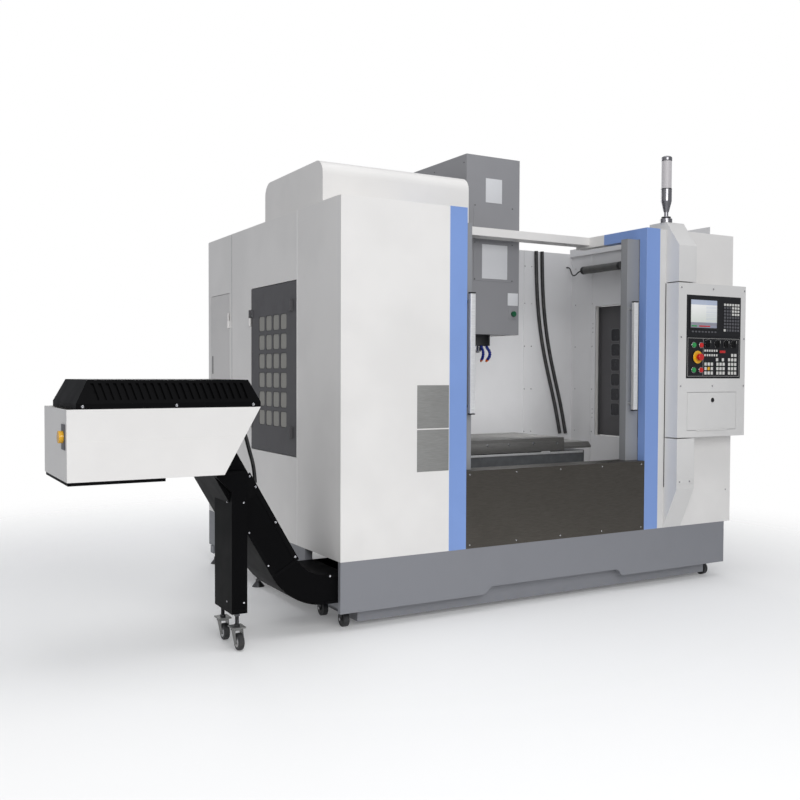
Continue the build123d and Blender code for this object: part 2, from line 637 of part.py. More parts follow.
def change_arm():
    top = ARM_BOTTOM + ARM_THICKNESS
    arm = rod_z(ARM_BOTTOM, top, ARM_X, SPINDLE_Y, 48)
    arm += rod_z(top, CAM_BOX_BOTTOM + 115, ARM_X, SPINDLE_Y, 25)
    for side in (-1, 1):
        reach = [(ARM_X - 38, SPINDLE_Y), (ARM_X + 38, SPINDLE_Y), (ARM_X + 30, SPINDLE_Y + side * 200),
                 (ARM_X + 44, SPINDLE_Y + side * (ARM_REACH + 24)),
                 (ARM_X - 30, SPINDLE_Y + side * (ARM_REACH + 24)), (ARM_X - 30, SPINDLE_Y + side * 200)]
        arm += prism_z(reach, ARM_BOTTOM, top)
        # The claw opens sideways, so that the arm turns into the tools
        claw_x = ARM_X + side * 12
        arm -= rod_z(ARM_BOTTOM - 1, top + 1, claw_x, SPINDLE_Y + side * ARM_REACH, 23)
    return arm


def magazine_cover():
    """The rounded sheet hood over the magazine, with skirts down inside the roof."""
    y0, y1, r = HUMP_FRONT_Y, HUMP_BACK_Y, HUMP_RADIUS
    outer = block(HUMP_LEFT, HUMP_RIGHT, y0, y1, HUMP_SKIRT_Z, HUMP_TOP)
    edges = outer.edges().filter_by(Axis.X).sort_by(Axis.Z)[-2:]
    outer = fillet(edges, r)
    inner = block(HUMP_LEFT + SHEET, HUMP_RIGHT - SHEET, y0 + SHEET, y1 - SHEET, HUMP_SKIRT_Z - 1,
                  HUMP_TOP - SHEET)
    edges = inner.edges().filter_by(Axis.X).sort_by(Axis.Z)[-2:]
    inner = fillet(edges, r - SHEET)
    hood = outer - inner
    # The side next to the head and the back are open below the roof for the changer
    hood -= block(HUMP_RIGHT - 200, HUMP_RIGHT + 1, y0 - 1, y1 + 1, HUMP_SKIRT_Z - 1, PANEL_TOP - 12)
    hood -= block(HUMP_LEFT + 400, HUMP_RIGHT, y1 - 100, y1 + 1, HUMP_SKIRT_Z - 1, PANEL_TOP - 12)
    return hood + left_roof()


# Sheet-metal enclosure
def left_front_panel():
    """Front panel and the first stretch of the side, folded from one sheet."""
    x1 = OPENING_LEFT - STRIP_WIDTH
    skin = block(0, x1, 0, FLANGE, PANEL_BOTTOM, PANEL_TOP)
    skin -= block(SHEET, x1 - SHEET, SHEET, FLANGE + 1, PANEL_BOTTOM + SHEET, PANEL_TOP - SHEET)
    side = block(0, FLANGE, FLANGE, FRONT_SEAM_Y - SEAM, PANEL_BOTTOM, PANEL_TOP)
    side -= block(SHEET, FLANGE + 1, FLANGE - 1, FRONT_SEAM_Y - SEAM - SHEET, PANEL_BOTTOM + SHEET,
                  PANEL_TOP - SHEET)
    return skin + side + seam_joint(SHEET, FLANGE)


def seam_joint(x0, x1):
    """The closing strip behind the open seam between a front fold and the side wall."""
    return block(x0, x1, FRONT_SEAM_Y - SEAM, FRONT_SEAM_Y, PANEL_BOTTOM, PANEL_TOP)


def side_wall(x, inward):
    """A side wall from its front seam to the back, with the service door's opening."""
    x0, x1 = min(x, x + inward * FLANGE), max(x, x + inward * FLANGE)
    y0 = FRONT_SEAM_Y
    wall = block(x0, x1, y0, DEPTH, PANEL_BOTTOM, PANEL_TOP)
    inner0, inner1 = (x0 + SHEET, x1 + 1) if inward > 0 else (x0 - 1, x1 - SHEET)
    wall -= block(inner0, inner1, y0 + SHEET, DEPTH - SHEET, PANEL_BOTTOM + SHEET, PANEL_TOP - SHEET)
    # The folded frame round the service door
    frame = block(x0, x1, y0, SERVICE_BACK_Y + 25, SERVICE_BOTTOM - 25, SERVICE_TOP + 25)
    wall += frame
    wall -= block(x0 - 1, x1 + 1, SERVICE_FRONT_Y, SERVICE_BACK_Y, SERVICE_BOTTOM, SERVICE_TOP)
    for knuckle in wall_knuckles(SERVICE_BACK_Y, SERVICE_BOTTOM, SERVICE_TOP, 1):
        wall += knuckle if inward > 0 else mirrored_in_machine(knuckle)
    return wall


def rear_return(x0, x1):
    """The back panel of one side, folded round from the side wall."""
    y0 = DEPTH - FLANGE
    panel = block(x0, x1, y0, DEPTH, PANEL_BOTTOM, PANEL_TOP)
    return panel - block(x0 + SHEET, x1 - SHEET, y0 - 1, DEPTH - SHEET, PANEL_BOTTOM + SHEET, PANEL_TOP - SHEET)


def left_side_panel():
    wall = side_wall(0, 1) + rear_return(SHEET, SPINDLE_X - BED_HALF_WIDTH - 60)
    wall += block(0, FLANGE, ACCESS_FRONT_Y - 20, ACCESS_BACK_Y + 20, ACCESS_BOTTOM - 20, ACCESS_TOP + 20)
    wall -= block(-1, FLANGE + 1, ACCESS_FRONT_Y, ACCESS_BACK_Y, ACCESS_BOTTOM, ACCESS_TOP)
    for knuckle in wall_knuckles(ACCESS_FRONT_Y, ACCESS_BOTTOM, ACCESS_TOP, -1):
        wall += knuckle
    return wall


def right_cabinet():
    """Front of the right cabinet, folded round its corner, and the right side wall."""
    skin = block(POST_RIGHT, WIDTH, 0, FLANGE, PANEL_BOTTOM, PANEL_TOP)
    skin -= block(POST_RIGHT + SHEET, WIDTH - SHEET, SHEET, FLANGE + 1, PANEL_BOTTOM + SHEET,
                  PANEL_TOP - SHEET)
    side = block(WIDTH - FLANGE, WIDTH, FLANGE, FRONT_SEAM_Y - SEAM, PANEL_BOTTOM, PANEL_TOP)
    side -= block(WIDTH - FLANGE - 1, WIDTH - SHEET, FLANGE - 1, FRONT_SEAM_Y - SEAM - SHEET,
                  PANEL_BOTTOM + SHEET, PANEL_TOP - SHEET)
    joint = seam_joint(WIDTH - FLANGE, WIDTH - SHEET)
    roof = block(OPENING_RIGHT + ROOF_RAIL_WIDTH + 2, WIDTH, 132, ROOF_RAIL_END_Y, PANEL_TOP, PANEL_TOP + SHEET)
    roof += block(POST_RIGHT + 2, WIDTH, 0, 132, PANEL_TOP, PANEL_TOP + SHEET)
    roof -= block(RIGHT_WALL_X, RIGHT_WALL_X + SHEET, 135, ROOF_RAIL_END_Y + 1, PANEL_TOP - 1, PANEL_TOP + SHEET + 1)
    rear = rear_return(SPINDLE_X + BED_HALF_WIDTH + 60, WIDTH - SHEET)
    return skin + side + joint + side_wall(WIDTH, -1) + roof + rear


def left_strip():
    x0 = OPENING_LEFT - STRIP_WIDTH
    strip = block(x0, OPENING_LEFT, 0, STRIP_DEPTH, PANEL_BOTTOM, PANEL_TOP + 2)
    strip -= block(x0 + SHEET, OPENING_LEFT - SHEET, SHEET, STRIP_DEPTH + 1, PANEL_BOTTOM - 1,
                   PANEL_TOP - SHEET)
    return strip + roof_rail(OPENING_LEFT - ROOF_RAIL_WIDTH, HUMP_FRONT_Y)


def roof_rail(x0, end_y):
    """The box rail that runs back from a strip's top to the magazine's hood or the overhead beam."""
    return block(x0, x0 + ROOF_RAIL_WIDTH, STRIP_DEPTH, end_y, ROOF_RAIL_BOTTOM, PANEL_TOP + 2)


def right_strip():
    x1 = OPENING_RIGHT + STRIP_WIDTH
    strip = block(OPENING_RIGHT, x1, 0, STRIP_DEPTH, PANEL_BOTTOM, PANEL_TOP + 2)
    strip -= block(OPENING_RIGHT + SHEET, x1 - SHEET, SHEET, STRIP_DEPTH + 1, PANEL_BOTTOM - 1,
                   PANEL_TOP - SHEET)
    return strip + roof_rail(OPENING_RIGHT, ROOF_RAIL_END_Y)


def overhead_beam():
    top = PANEL_TOP + 2
    return block(HUMP_RIGHT, OPENING_RIGHT, BEAM_FRONT_Y, ROOF_RAIL_END_Y - 15, top - BEAM_HEIGHT, top)


def apron_plate():
    """Front plate under the door opening, folded back at the top into the doors' track."""
    x0, x1 = OPENING_LEFT, OPENING_RIGHT
    plate = block(x0, x1, 0, SHEET, PANEL_BOTTOM, SILL_TOP)
    plate += block(x0, x1, 0, 130, SILL_TOP - SHEET, SILL_TOP)
    plate += block(x0, x1, 0, FLANGE, PANEL_BOTTOM, PANEL_BOTTOM + SHEET)
    plate += block(x0, x1, 130 - SHEET, 130, SILL_TOP - 60, SILL_TOP)
    # The track runs on into both pockets, at the height of the sill
    track_back = TRACK_FRONT_Y + TRACK_WIDTH
    plate += block(45, RIGHT_WALL_X - 5, TRACK_FRONT_Y, track_back, SILL_TOP - 30, SILL_TOP)
    return plate


def inner_walls():
    """Rear inner walls on both sides of the column and the lining of the right side."""
    walls = []
    left_end = SPINDLE_X - COLUMN_HALF_WIDTH
    right_end = SPINDLE_X + COLUMN_HALF_WIDTH
    for x0, x1, top in ((FLANGE, left_end, PANEL_TOP), (right_end, WIDTH - FLANGE, POST_TOP)):
        walls.append(block(x0, x1, BACK_WALL_Y, BACK_WALL_Y + SHEET, COLUMN_FOOT + 63, top))
    # The tool changer's housing reaches the column through the left wall
    walls[0] -= block(CHANGER_PLATE_X, left_end + 1, BACK_WALL_Y - 1, BACK_WALL_Y + SHEET + 1,
                      HOUSING_BOTTOM, MAGAZINE_Z + 110)
    seam_x = 2150
    walls[1] += block(seam_x - 36, seam_x + 36, BACK_WALL_Y - 6, BACK_WALL_Y, COLUMN_FOOT + 63, POST_TOP)
    walls[1] += right_lining()
    return walls


def right_lining():
    """Inner lining of the right side, with its top flange and the doorway."""
    x0, x1 = RIGHT_WALL_X, RIGHT_WALL_X + SHEET
    wall = block(x0, x1, 135, BACK_WALL_Y + SHEET, COLUMN_FOOT + 63, POST_TOP + 30)
    wall += block(x0 - 20, x0, ROOF_RAIL_END_Y, BACK_WALL_Y, PANEL_TOP + 20, POST_TOP + 30)
    wall -= block(x0 - 1, x1 + 1, SERVICE_FRONT_Y, SERVICE_BACK_Y, SERVICE_BOTTOM, SERVICE_TOP)
    return wall


def chip_tray():
    """Sloping floor of the work area, cut out round the bed and open over the conveyor."""
    high = COLUMN_FOOT + 60
    low = PANEL_BOTTOM + 15
    front = TANK_BACK_Y
    outline = [(front, low), (BACK_WALL_Y, high), (BACK_WALL_Y, high + SHEET), (front, low + SHEET)]
    tray = prism_x(outline, FLANGE, WIDTH - FLANGE)
    left = SPINDLE_X - BED_HALF_WIDTH - 50
    right = SPINDLE_X + BED_HALF_WIDTH + 50
    return tray - block(left, right, BED_FRONT_Y, BACK_WALL_Y + 1, low - 1, high + 10)


def left_roof():
    """Roof sheet round the magazine's hood."""
    roof = block(SHEET, SPINDLE_X - COLUMN_HALF_WIDTH - 20, ROOF_RAIL_END_Y + 4, DEPTH - SHEET, PANEL_TOP,
                 PANEL_TOP + SHEET)
    roof += block(SHEET, OPENING_LEFT - ROOF_RAIL_WIDTH - 2, STRIP_DEPTH + 2, ROOF_RAIL_END_Y + 4, PANEL_TOP,
                  PANEL_TOP + SHEET)
    return roof - block(HUMP_LEFT, HUMP_RIGHT, HUMP_FRONT_Y, HUMP_BACK_Y, PANEL_TOP - 1,
                        PANEL_TOP + 10)


def sliding_door(x0):
    z0 = SILL_TOP + DOOR_RUNNING_GAP
    x1 = x0 + DOOR_WIDTH
    y1 = DOOR_FRONT_Y + DOOR_THICKNESS
    frame = block(x0, x1, DOOR_FRONT_Y, y1, z0, DOOR_TOP)
    frame -= block(x0 + DOOR_STILE, x1 - DOOR_STILE, DOOR_FRONT_Y - 1, y1 + 1, z0 + DOOR_RAIL,
                   DOOR_TOP - DOOR_RAIL)
    rebate = DOOR_STILE - PANE_REBATE
    frame -= block(x0 + rebate, x1 - rebate, y1 - PANE, y1 + 1, z0 + DOOR_RAIL - PANE_REBATE,
                   DOOR_TOP - DOOR_RAIL + PANE_REBATE)
    return frame


def door_handle(x0):
    y0 = DOOR_FRONT_Y - HANDLE_REACH
    bar = block(x0, x0 + HANDLE_WIDTH, y0, y0 + 22, HANDLE_BOTTOM, HANDLE_TOP)
    bar = fillet(bar.edges().filter_by(Axis.Z), 8)
    for z in (HANDLE_BOTTOM + 35, HANDLE_TOP - 35):
        bar += rod_y(y0 + 15, DOOR_FRONT_Y, x0 + HANDLE_WIDTH / 2, z, 9)
    return bar


def left_door():
    x0 = LEFT_DOOR_EDGE - DOOR_WIDTH
    return sliding_door(x0) + door_handle(LEFT_DOOR_EDGE - HANDLE_INSET - HANDLE_WIDTH)


def right_door():
    return sliding_door(RIGHT_DOOR_EDGE) + door_handle(RIGHT_DOOR_EDGE + HANDLE_INSET)


def door_window(x0):
    z0 = SILL_TOP + DOOR_RUNNING_GAP
    y1 = DOOR_FRONT_Y + DOOR_THICKNESS
    rebate = DOOR_STILE - PANE_REBATE
    return block(x0 + rebate, x0 + DOOR_WIDTH - rebate, y1 - PANE, y1, z0 + DOOR_RAIL - PANE_REBATE,
                 DOOR_TOP - DOOR_RAIL + PANE_REBATE)


def window_grid(x0, x1):
    """The service door's pattern of rounded square windows, as cutting prisms along X."""
    with BuildSketch(Plane.YZ.offset(x0)) as pattern:
        for row in range(WINDOW_ROWS):
            for col in range(WINDOW_COLUMNS):
                y = WINDOW_FRONT_Y + col * WINDOW_PITCH
                z = WINDOW_LOWEST_Z + row * WINDOW_PITCH
                with Locations((y, z)):
                    RectangleRounded(WINDOW_SIZE, WINDOW_SIZE, WINDOW_RADIUS)
    return extrude(pattern.sketch, x1 - x0)


def hinge_knuckle(edge_y, z, leaf_side):
    """Half of a butt hinge on the wall's outside; leaf_side is -1 or 1, the way its plate goes in Y."""
    inner = edge_y + leaf_side * 8
    outer = edge_y + leaf_side * 34
    knuckle = rod_z(z, z + HINGE_HEIGHT, -HINGE_OFFSET, edge_y, HINGE_RADIUS)
    knuckle += block(-HINGE_OFFSET - 3, -1, min(edge_y, inner), max(edge_y, inner), z, z + HINGE_HEIGHT)
    y0, y1 = sorted((edge_y + leaf_side * 4, outer))
    return knuckle + block(-4, 0, y0, y1, z, z + HINGE_HEIGHT)


def wall_knuckles(edge_y, z0, z1, leaf_side):
    """The fixed halves of a door's two hinges."""
    return [hinge_knuckle(edge_y, z, leaf_side) for z in (z0 + 120, z1 - 210)]


def door_knuckles(edge_y, z0, z1, leaf_side):
    """The door's halves, standing on the fixed ones with a small gap."""
    rise = HINGE_HEIGHT + HINGE_GAP
    return [hinge_knuckle(edge_y, z + rise, leaf_side) for z in (z0 + 120, z1 - 210)]


def service_door():
    """A folded steel leaf with six rows of windows, hinged at its rear edge."""
    y0 = SERVICE_FRONT_Y + SERVICE_GAP
    y1 = SERVICE_BACK_Y - SERVICE_GAP
    z0 = SERVICE_BOTTOM + SERVICE_GAP
    z1 = SERVICE_TOP - SERVICE_GAP
    leaf = block(0, SERVICE_THICKNESS, y0, y1, z0, z1)
    leaf -= block(SHEET, SERVICE_THICKNESS + 1, y0 + SHEET, y1 - SHEET, z0 + SHEET, z1 - SHEET)
    leaf -= window_grid(-1, SHEET + 1)
    leaf += service_pane()
    # Two slam latches near the free edge
    for z in (z1 - 122, z0 + 118):
        y = y0 + LATCH_INSET
        leaf += block(-LATCH_REACH, 0, y - 14, y + 14, z - 30, z + 30)
        leaf += block(SHEET, 22, y - 20, y + 12, z - 20, z + 20)
    for knuckle in door_knuckles(SERVICE_BACK_Y, SERVICE_BOTTOM, SERVICE_TOP, -1):
        leaf += knuckle
    return leaf


def service_pane():
    half = WINDOW_SIZE / 2 + 20
    y0 = WINDOW_FRONT_Y - half
    y1 = WINDOW_FRONT_Y + (WINDOW_COLUMNS - 1) * WINDOW_PITCH + half
    z0 = WINDOW_LOWEST_Z - half
    z1 = WINDOW_LOWEST_Z + (WINDOW_ROWS - 1) * WINDOW_PITCH + half
    return block(SHEET, SHEET + PANE, y0, y1, z0, z1)


def access_door():
    y0, y1 = ACCESS_FRONT_Y + 3, ACCESS_BACK_Y - 3
    z0, z1 = ACCESS_BOTTOM + 3, ACCESS_TOP - 3
    leaf = block(0, 22, y0, y1, z0, z1)
    leaf -= block(SHEET, 23, y0 + SHEET, y1 - SHEET, z0 + SHEET, z1 - SHEET)
    leaf -= block(1, 3.5, y1 - 40, y1 - 28, 1200, 1310)
    for knuckle in door_knuckles(ACCESS_FRONT_Y, ACCESS_BOTTOM, ACCESS_TOP, 1):
        leaf += knuckle
    return leaf


# Lower parts
def front_skirt():
    right_foot = NOTCH_RIGHT - NOTCH_SLOPE / 2
    notch_top = SKIRT_BOTTOM + NOTCH_RISE
    outline = [(0, SKIRT_BOTTOM), (NOTCH_LEFT, SKIRT_BOTTOM), (NOTCH_LEFT + NOTCH_SLOPE, notch_top),
               (right_foot, notch_top), (NOTCH_RIGHT, SKIRT_BOTTOM), (SKIRT_RIGHT, SKIRT_BOTTOM),
               (SKIRT_RIGHT, PANEL_BOTTOM), (0, PANEL_BOTTOM)]
    solid = prism_y(outline, 0, SKIRT_DEPTH)
    corners = [e for e in solid.edges().filter_by(Axis.Y)
               if SKIRT_BOTTOM - 1 < e.center().Z < notch_top + 1 and NOTCH_LEFT - 1 < e.center().X < NOTCH_RIGHT + 1]
    solid = fillet(corners, NOTCH_RADIUS)
    # Hollow from behind, leaving the sheet's front and its folded edges
    hollow = block(SHEET, NOTCH_LEFT - 4, SHEET, SKIRT_DEPTH + 1, SKIRT_BOTTOM + SHEET, PANEL_BOTTOM - SHEET)
    hollow += block(NOTCH_RIGHT + 4, SKIRT_RIGHT - SHEET, SHEET, SKIRT_DEPTH + 1, SKIRT_BOTTOM + SHEET,
                    PANEL_BOTTOM - SHEET)
    hollow += block(NOTCH_LEFT - 5, NOTCH_RIGHT + 5, SHEET, SKIRT_DEPTH + 1, notch_top + SHEET,
                    PANEL_BOTTOM - SHEET)
    return solid - hollow


def coolant_tank():
    left, right = 20, SKIRT_RIGHT - 20
    outline = [(left, TANK_TOP), (left, TANK_WING), (TANK_LEFT, TANK_WING), (TANK_LEFT, TANK_BOTTOM),
               (TANK_RIGHT, TANK_BOTTOM), (TANK_RIGHT, TANK_WING), (right, TANK_WING), (right, TANK_TOP)]
    tank = prism_y(outline, TANK_FRONT_Y, TANK_BACK_Y)
    tank -= block(TANK_LEFT + SHEET, TANK_RIGHT - SHEET, TANK_FRONT_Y + SHEET, TANK_BACK_Y - SHEET,
                  TANK_BOTTOM + SHEET, TANK_TOP + 1)
    tank += front_skirt()
    tank += block(left, right, SKIRT_DEPTH - 4, TANK_FRONT_Y + 4, TANK_TOP - SHEET, TANK_TOP)
    for x in (70, SKIRT_RIGHT - 70):
        for y in (TANK_FRONT_Y + 45, TANK_BACK_Y - 60):
            tank += fixed_caster(x, y)
    return tank


def fixed_caster(x, y):
    """A small caster under the tank, drawn with its wheel in the fork."""
    wheel = rod_x(x - WHEEL_WIDTH / 2, x + WHEEL_WIDTH / 2, y, WHEEL_RADIUS, WHEEL_RADIUS)
    fork = block(x - 26, x + 26, y - 26, y + 26, TANK_WING - 6, TANK_WING)
    for side in (-1, 1):
        cheek = [(y - 9, WHEEL_RADIUS - 9), (y + 9, WHEEL_RADIUS - 9), (y + 24, TANK_WING - 5),
                 (y - 24, TANK_WING - 5)]
        x0 = x + side * (WHEEL_WIDTH / 2 + 4) - 2
        fork += prism_x(cheek, x0, x0 + 4)
    return wheel + fork + rod_x(x - 24, x + 24, y, WHEEL_RADIUS, 5)


def lower_frame():
    """Side sills behind the skirt, each with brackets for the levelling feet."""
    sills = []
    for x0, x1 in ((0, FLANGE), (WIDTH - FLANGE, WIDTH)):
        sill = block(x0, x1, TANK_BACK_Y, DEPTH, LOWER_FRAME_BOTTOM, PANEL_BOTTOM)
        hollow_x = (x0 + SHEET, x1 + 1) if x0 == 0 else (x0 - 1, x1 - SHEET)
        sill -= block(*hollow_x, TANK_BACK_Y + SHEET, DEPTH - SHEET, LOWER_FRAME_BOTTOM + SHEET,
                      PANEL_BOTTOM - SHEET)
        for y in (1091, DEPTH - 80):
            mid = (x0 + x1) / 2
            sill += block(mid - 28, mid + 28, y - 28, y + 28, LOWER_FRAME_BOTTOM - 45, LOWER_FRAME_BOTTOM)
        sills.append(sill)
    return sills


def levelling_foot(x, y, top):
    pad = Pos(x, y, 14) * Cone(FOOT_RADIUS, 14, 28)
    return pad + rod_z(27, top, x, y, STUD_RADIUS) + rod_z(30, 42, x, y, 15)


def levelling_feet():
    feet = []
    for x in (FLANGE / 2, WIDTH - FLANGE / 2):
        for y in (1091, DEPTH - 80):
            feet.append(levelling_foot(x, y, LOWER_FRAME_BOTTOM - 45))
    half = BED_HALF_WIDTH - 40
    for x in (SPINDLE_X - half, SPINDLE_X + half):
        for y in (BED_FRONT_Y + 45, (BED_FRONT_Y + BED_BACK_Y) / 2, BED_BACK_Y - 45):
            feet.append(levelling_foot(x, y, BED_BOTTOM))
    return feet


# Control post and pendant
def control_post():
    y = POST_FRONT_Y
    notch_y = -PENDANT_SEAM
    outline = [(0, PANEL_BOTTOM), (y, POST_UNDERCUT_Z), (y, PENDANT_BOTTOM - PENDANT_SEAM),
               (notch_y, PENDANT_BOTTOM - PENDANT_SEAM), (notch_y, PENDANT_TOP + PENDANT_SEAM),
               (y, PENDANT_TOP + PENDANT_SEAM), (y, POST_CHAMFER_Z), (0, POST_TOP), (130, POST_TOP),
               (130, PANEL_TOP), (STRIP_DEPTH, PANEL_TOP), (STRIP_DEPTH, PANEL_BOTTOM)]
    post = prism_x(outline, POST_LEFT, POST_RIGHT)
    x0, x1 = POST_LEFT + SHEET, POST_RIGHT - SHEET
    post -= block(x0, x1, y + SHEET, STRIP_DEPTH + 1, POST_UNDERCUT_Z + SHEET, PENDANT_BOTTOM - 10)
    post -= block(x0, x1, notch_y + SHEET, STRIP_DEPTH + 1, PENDANT_BOTTOM - 11, PENDANT_TOP + 11)
    post -= block(x0, x1, y + SHEET, STRIP_DEPTH + 1, PENDANT_TOP + 10, POST_CHAMFER_Z - SHEET)
    filler = block(OPENING_RIGHT + STRIP_WIDTH, POST_LEFT, 0, STRIP_DEPTH, PANEL_BOTTOM, PANEL_TOP)
    return post + filler


def pendant_box():
    """Folded box of the pendant, with the panels' window and the storage bin."""
    front, back = POST_FRONT_Y, -PENDANT_SEAM
    box = block(POST_LEFT, PENDANT_RIGHT, front, back, PENDANT_BOTTOM, PENDANT_TOP)
    box -= block(POST_LEFT + SHEET, PENDANT_RIGHT - SHEET, front + SHEET, back + 1, PENDANT_BOTTOM + SHEET,
                 PENDANT_TOP - SHEET)
    # A smaller frame behind leaves the shadow gap round the box
    box += block(POST_RIGHT, PENDANT_RIGHT - 12, back - SHEET, 0, PENDANT_BOTTOM + 12, PENDANT_TOP - 12)
    box += block(POST_LEFT, POST_RIGHT, back - SHEET, back, PENDANT_BOTTOM, PENDANT_TOP)
    box -= block(PANEL_LEFT, PANEL_RIGHT, front - 1, front + SHEET + 1, PANEL_LOW_Z, PANEL_HIGH_Z)
    bin_back = front + STORAGE_DEPTH
    box += block(STORAGE_LEFT - SHEET, STORAGE_RIGHT + SHEET, front, bin_back + SHEET, STORAGE_BOTTOM - SHEET,
                 STORAGE_TOP + SHEET)
    box -= block(STORAGE_LEFT, STORAGE_RIGHT, front - 1, bin_back, STORAGE_BOTTOM, STORAGE_TOP)
    for hinge0, hinge1 in barrel_spans(0):
        box += rod_x(hinge0, hinge1, front - BARREL_RADIUS, STORAGE_BOTTOM + 1, BARREL_RADIUS)
        box += block(hinge0, hinge1, front - BARREL_RADIUS, front, STORAGE_BOTTOM - 4, STORAGE_BOTTOM)
    for z in (PENDANT_TOP - 27, (PENDANT_TOP + 1110) / 2, 1141):
        for x in (POST_LEFT + 20, (POST_LEFT + PENDANT_RIGHT) / 2, PENDANT_RIGHT - 14):
            if PANEL_LEFT < x < PANEL_RIGHT and PANEL_LOW_Z < z < PANEL_HIGH_Z:
                continue
            box += rod_y(front - 2.5, front, x, z, 4.5)
    return box


def display_unit():
    front = POST_FRONT_Y
    unit = block(PANEL_LEFT, PANEL_RIGHT, front, front + 40, PANEL_SPLIT_Z + 1, PANEL_HIGH_Z)
    w, h = SCREEN_WIDTH / 2 + 4, SCREEN_HEIGHT / 2 + 4
    unit -= block(SCREEN_X - w, SCREEN_X + w, front - 1, front + 3, SCREEN_Z - h, SCREEN_Z + h)
    w, h = SCREEN_WIDTH / 2, SCREEN_HEIGHT / 2
    unit += block(SCREEN_X - w, SCREEN_X + w, front + 1, front + 3, SCREEN_Z - h, SCREEN_Z + h)
    for row in range(9):
        z = PANEL_HIGH_Z - 46 - row * 18.5
        for col in range(6):
            x = KEYBOARD_LEFT + col * 22.5
            unit += block(x, x + 15, front - 2, front, z - 6, z + 6)
    return unit


def panel_keys(front):
    keys = []
    for row in range(3):
        z = 1266 - row * KEY_PITCH
        for group in range(3):
            for col in range(3):
                x = 2257 + group * 97 + col * KEY_PITCH
                keys.append((x, z, KEY_SIZE))
    for row in range(2):
        for col in range(6):
            keys.append((2255 + col * 19, 1343 - row * 26, 11))
    for x, z in ((2350, 1292), (2398, 1292), (2450, 1292), (2476, 1292), (2502, 1292), (2476, 1318), (2502, 1318)):
        keys.append((x, z, KEY_SIZE))
    return [block(x, x + size, front - 2.5, front, z - size / 2, z + size / 2) for x, z, size in keys]


def operator_panel():
    front = POST_FRONT_Y
    panel = block(PANEL_LEFT, PANEL_RIGHT, front, front + 4, PANEL_LOW_Z, PANEL_SPLIT_Z)
    panel += block(PANEL_LEFT + 6, PANEL_RIGHT - 6, front + 4, front + 50, PANEL_LOW_Z + 6, PANEL_SPLIT_Z - 6)
    for x in (LEFT_BUTTON_X, RIGHT_BUTTON_X):
        for z in (UPPER_BUTTON_Z, LOWER_BUTTON_Z):
            ring = rod_y(front - 3, front, x, z, BUTTON_RADIUS + 3)
            panel += ring
            panel -= rod_y(front - 4, front + 16, x, z, BUTTON_RADIUS + BUTTON_CLEARANCE)
    panel += rod_y(front - 5, front, STOP_X, STOP_Z, STOP_RING_RADIUS)
    panel -= rod_y(front - 6, front + 22, STOP_X, STOP_Z, 11 + BUTTON_CLEARANCE)
    for x in KNOB_XS:
        panel -= rod_y(front - 1, front + 14, x, KNOB_Z, 5 + RUNNING_FIT)
    for key in panel_keys(front):
        panel += key
    return panel


def push_button(x, z):
    front = POST_FRONT_Y
    return rod_y(front - 9, front + 15 - BUTTON_TRAVEL, x, z, BUTTON_RADIUS)


def emergency_stop():
    front = POST_FRONT_Y
    stem = rod_y(front - 20, front + 21 - STOP_TRAVEL, STOP_X, STOP_Z, 11)
    cap = rod_y(front - STOP_REACH, front - STOP_REACH + 18, STOP_X, STOP_Z, STOP_RADIUS)
    cap = fillet(cap.edges().filter_by(GeomType.CIRCLE).sort_by(Axis.Y)[0], 6)
    return stem + cap


def selector_knob(x):
    front = POST_FRONT_Y
    knob = rod_y(front - 20, front - 0.3, x, KNOB_Z, KNOB_RADIUS)
    knob -= block(x - KNOB_RADIUS, x - 5, front - 21, front - 8, KNOB_Z - KNOB_RADIUS, KNOB_Z + KNOB_RADIUS)
    knob -= block(x + 5, x + KNOB_RADIUS, front - 21, front - 8, KNOB_Z - KNOB_RADIUS, KNOB_Z + KNOB_RADIUS)
    return knob + rod_y(front - 1, front + 13, x, KNOB_Z, 5)


def storage_door():
    front = POST_FRONT_Y
    gap = STORAGE_GAP
    leaf = block(STORAGE_LEFT + gap, STORAGE_RIGHT - gap, front, front + 12, STORAGE_BOTTOM + gap,
                 STORAGE_TOP - gap)
    for x0, x1 in barrel_spans(1):
        leaf += rod_x(x0, x1, front - BARREL_RADIUS, STORAGE_BOTTOM + 1, BARREL_RADIUS)
        leaf += block(x0, x1, front - BARREL_RADIUS, front, STORAGE_BOTTOM + gap, STORAGE_BOTTOM + 4)
    lock_x = (STORAGE_LEFT + STORAGE_RIGHT) / 2
    return leaf + rod_y(front - 4, front, lock_x, STORAGE_TOP - 46, 14)


def barrel_spans(first):
    """Every other stretch of the storage door's piano hinge, from stretch number first."""
    length = 50.0
    start = (STORAGE_LEFT + STORAGE_RIGHT) / 2 - 2.5 * length
    return [(start + n * length, start + (n + 1) * length - SLIDE_GAP) for n in range(first, 5, 2)]


def signal_tower():
    x, y = TOWER_X, TOWER_Y
    tower = rod_z(POST_TOP, POST_TOP + 22, x, y, 34)
    tower += rod_z(POST_TOP + 22, POST_TOP + 62, x, y, 12)
    tower += Pos(x, y, POST_TOP + 92) * Cone(15, 30, 60)
    tower += rod_z(POST_TOP + 122, TOWER_LENS_BOTTOM, x, y, TOWER_LENS_RADIUS + 3)
    tower += rod_z(TOWER_LENS_BOTTOM, TOWER_TOP - 18, x, y, TOWER_LENS_RADIUS)
    return tower + rod_z(TOWER_TOP - 18, TOWER_TOP, x, y, TOWER_LENS_RADIUS + 2)


def work_lamp():
    x, z = LAMP_X, LAMP_Z
    lamp = rod_y(LAMP_FRONT_Y, LAMP_BACK_Y, x, z, LAMP_RADIUS)
    for y in (LAMP_FRONT_Y + 60, LAMP_BACK_Y - 60):
        lamp += block(x - 6, RIGHT_WALL_X, y - 15, y + 15, z - 4, z + 4)
    return lamp


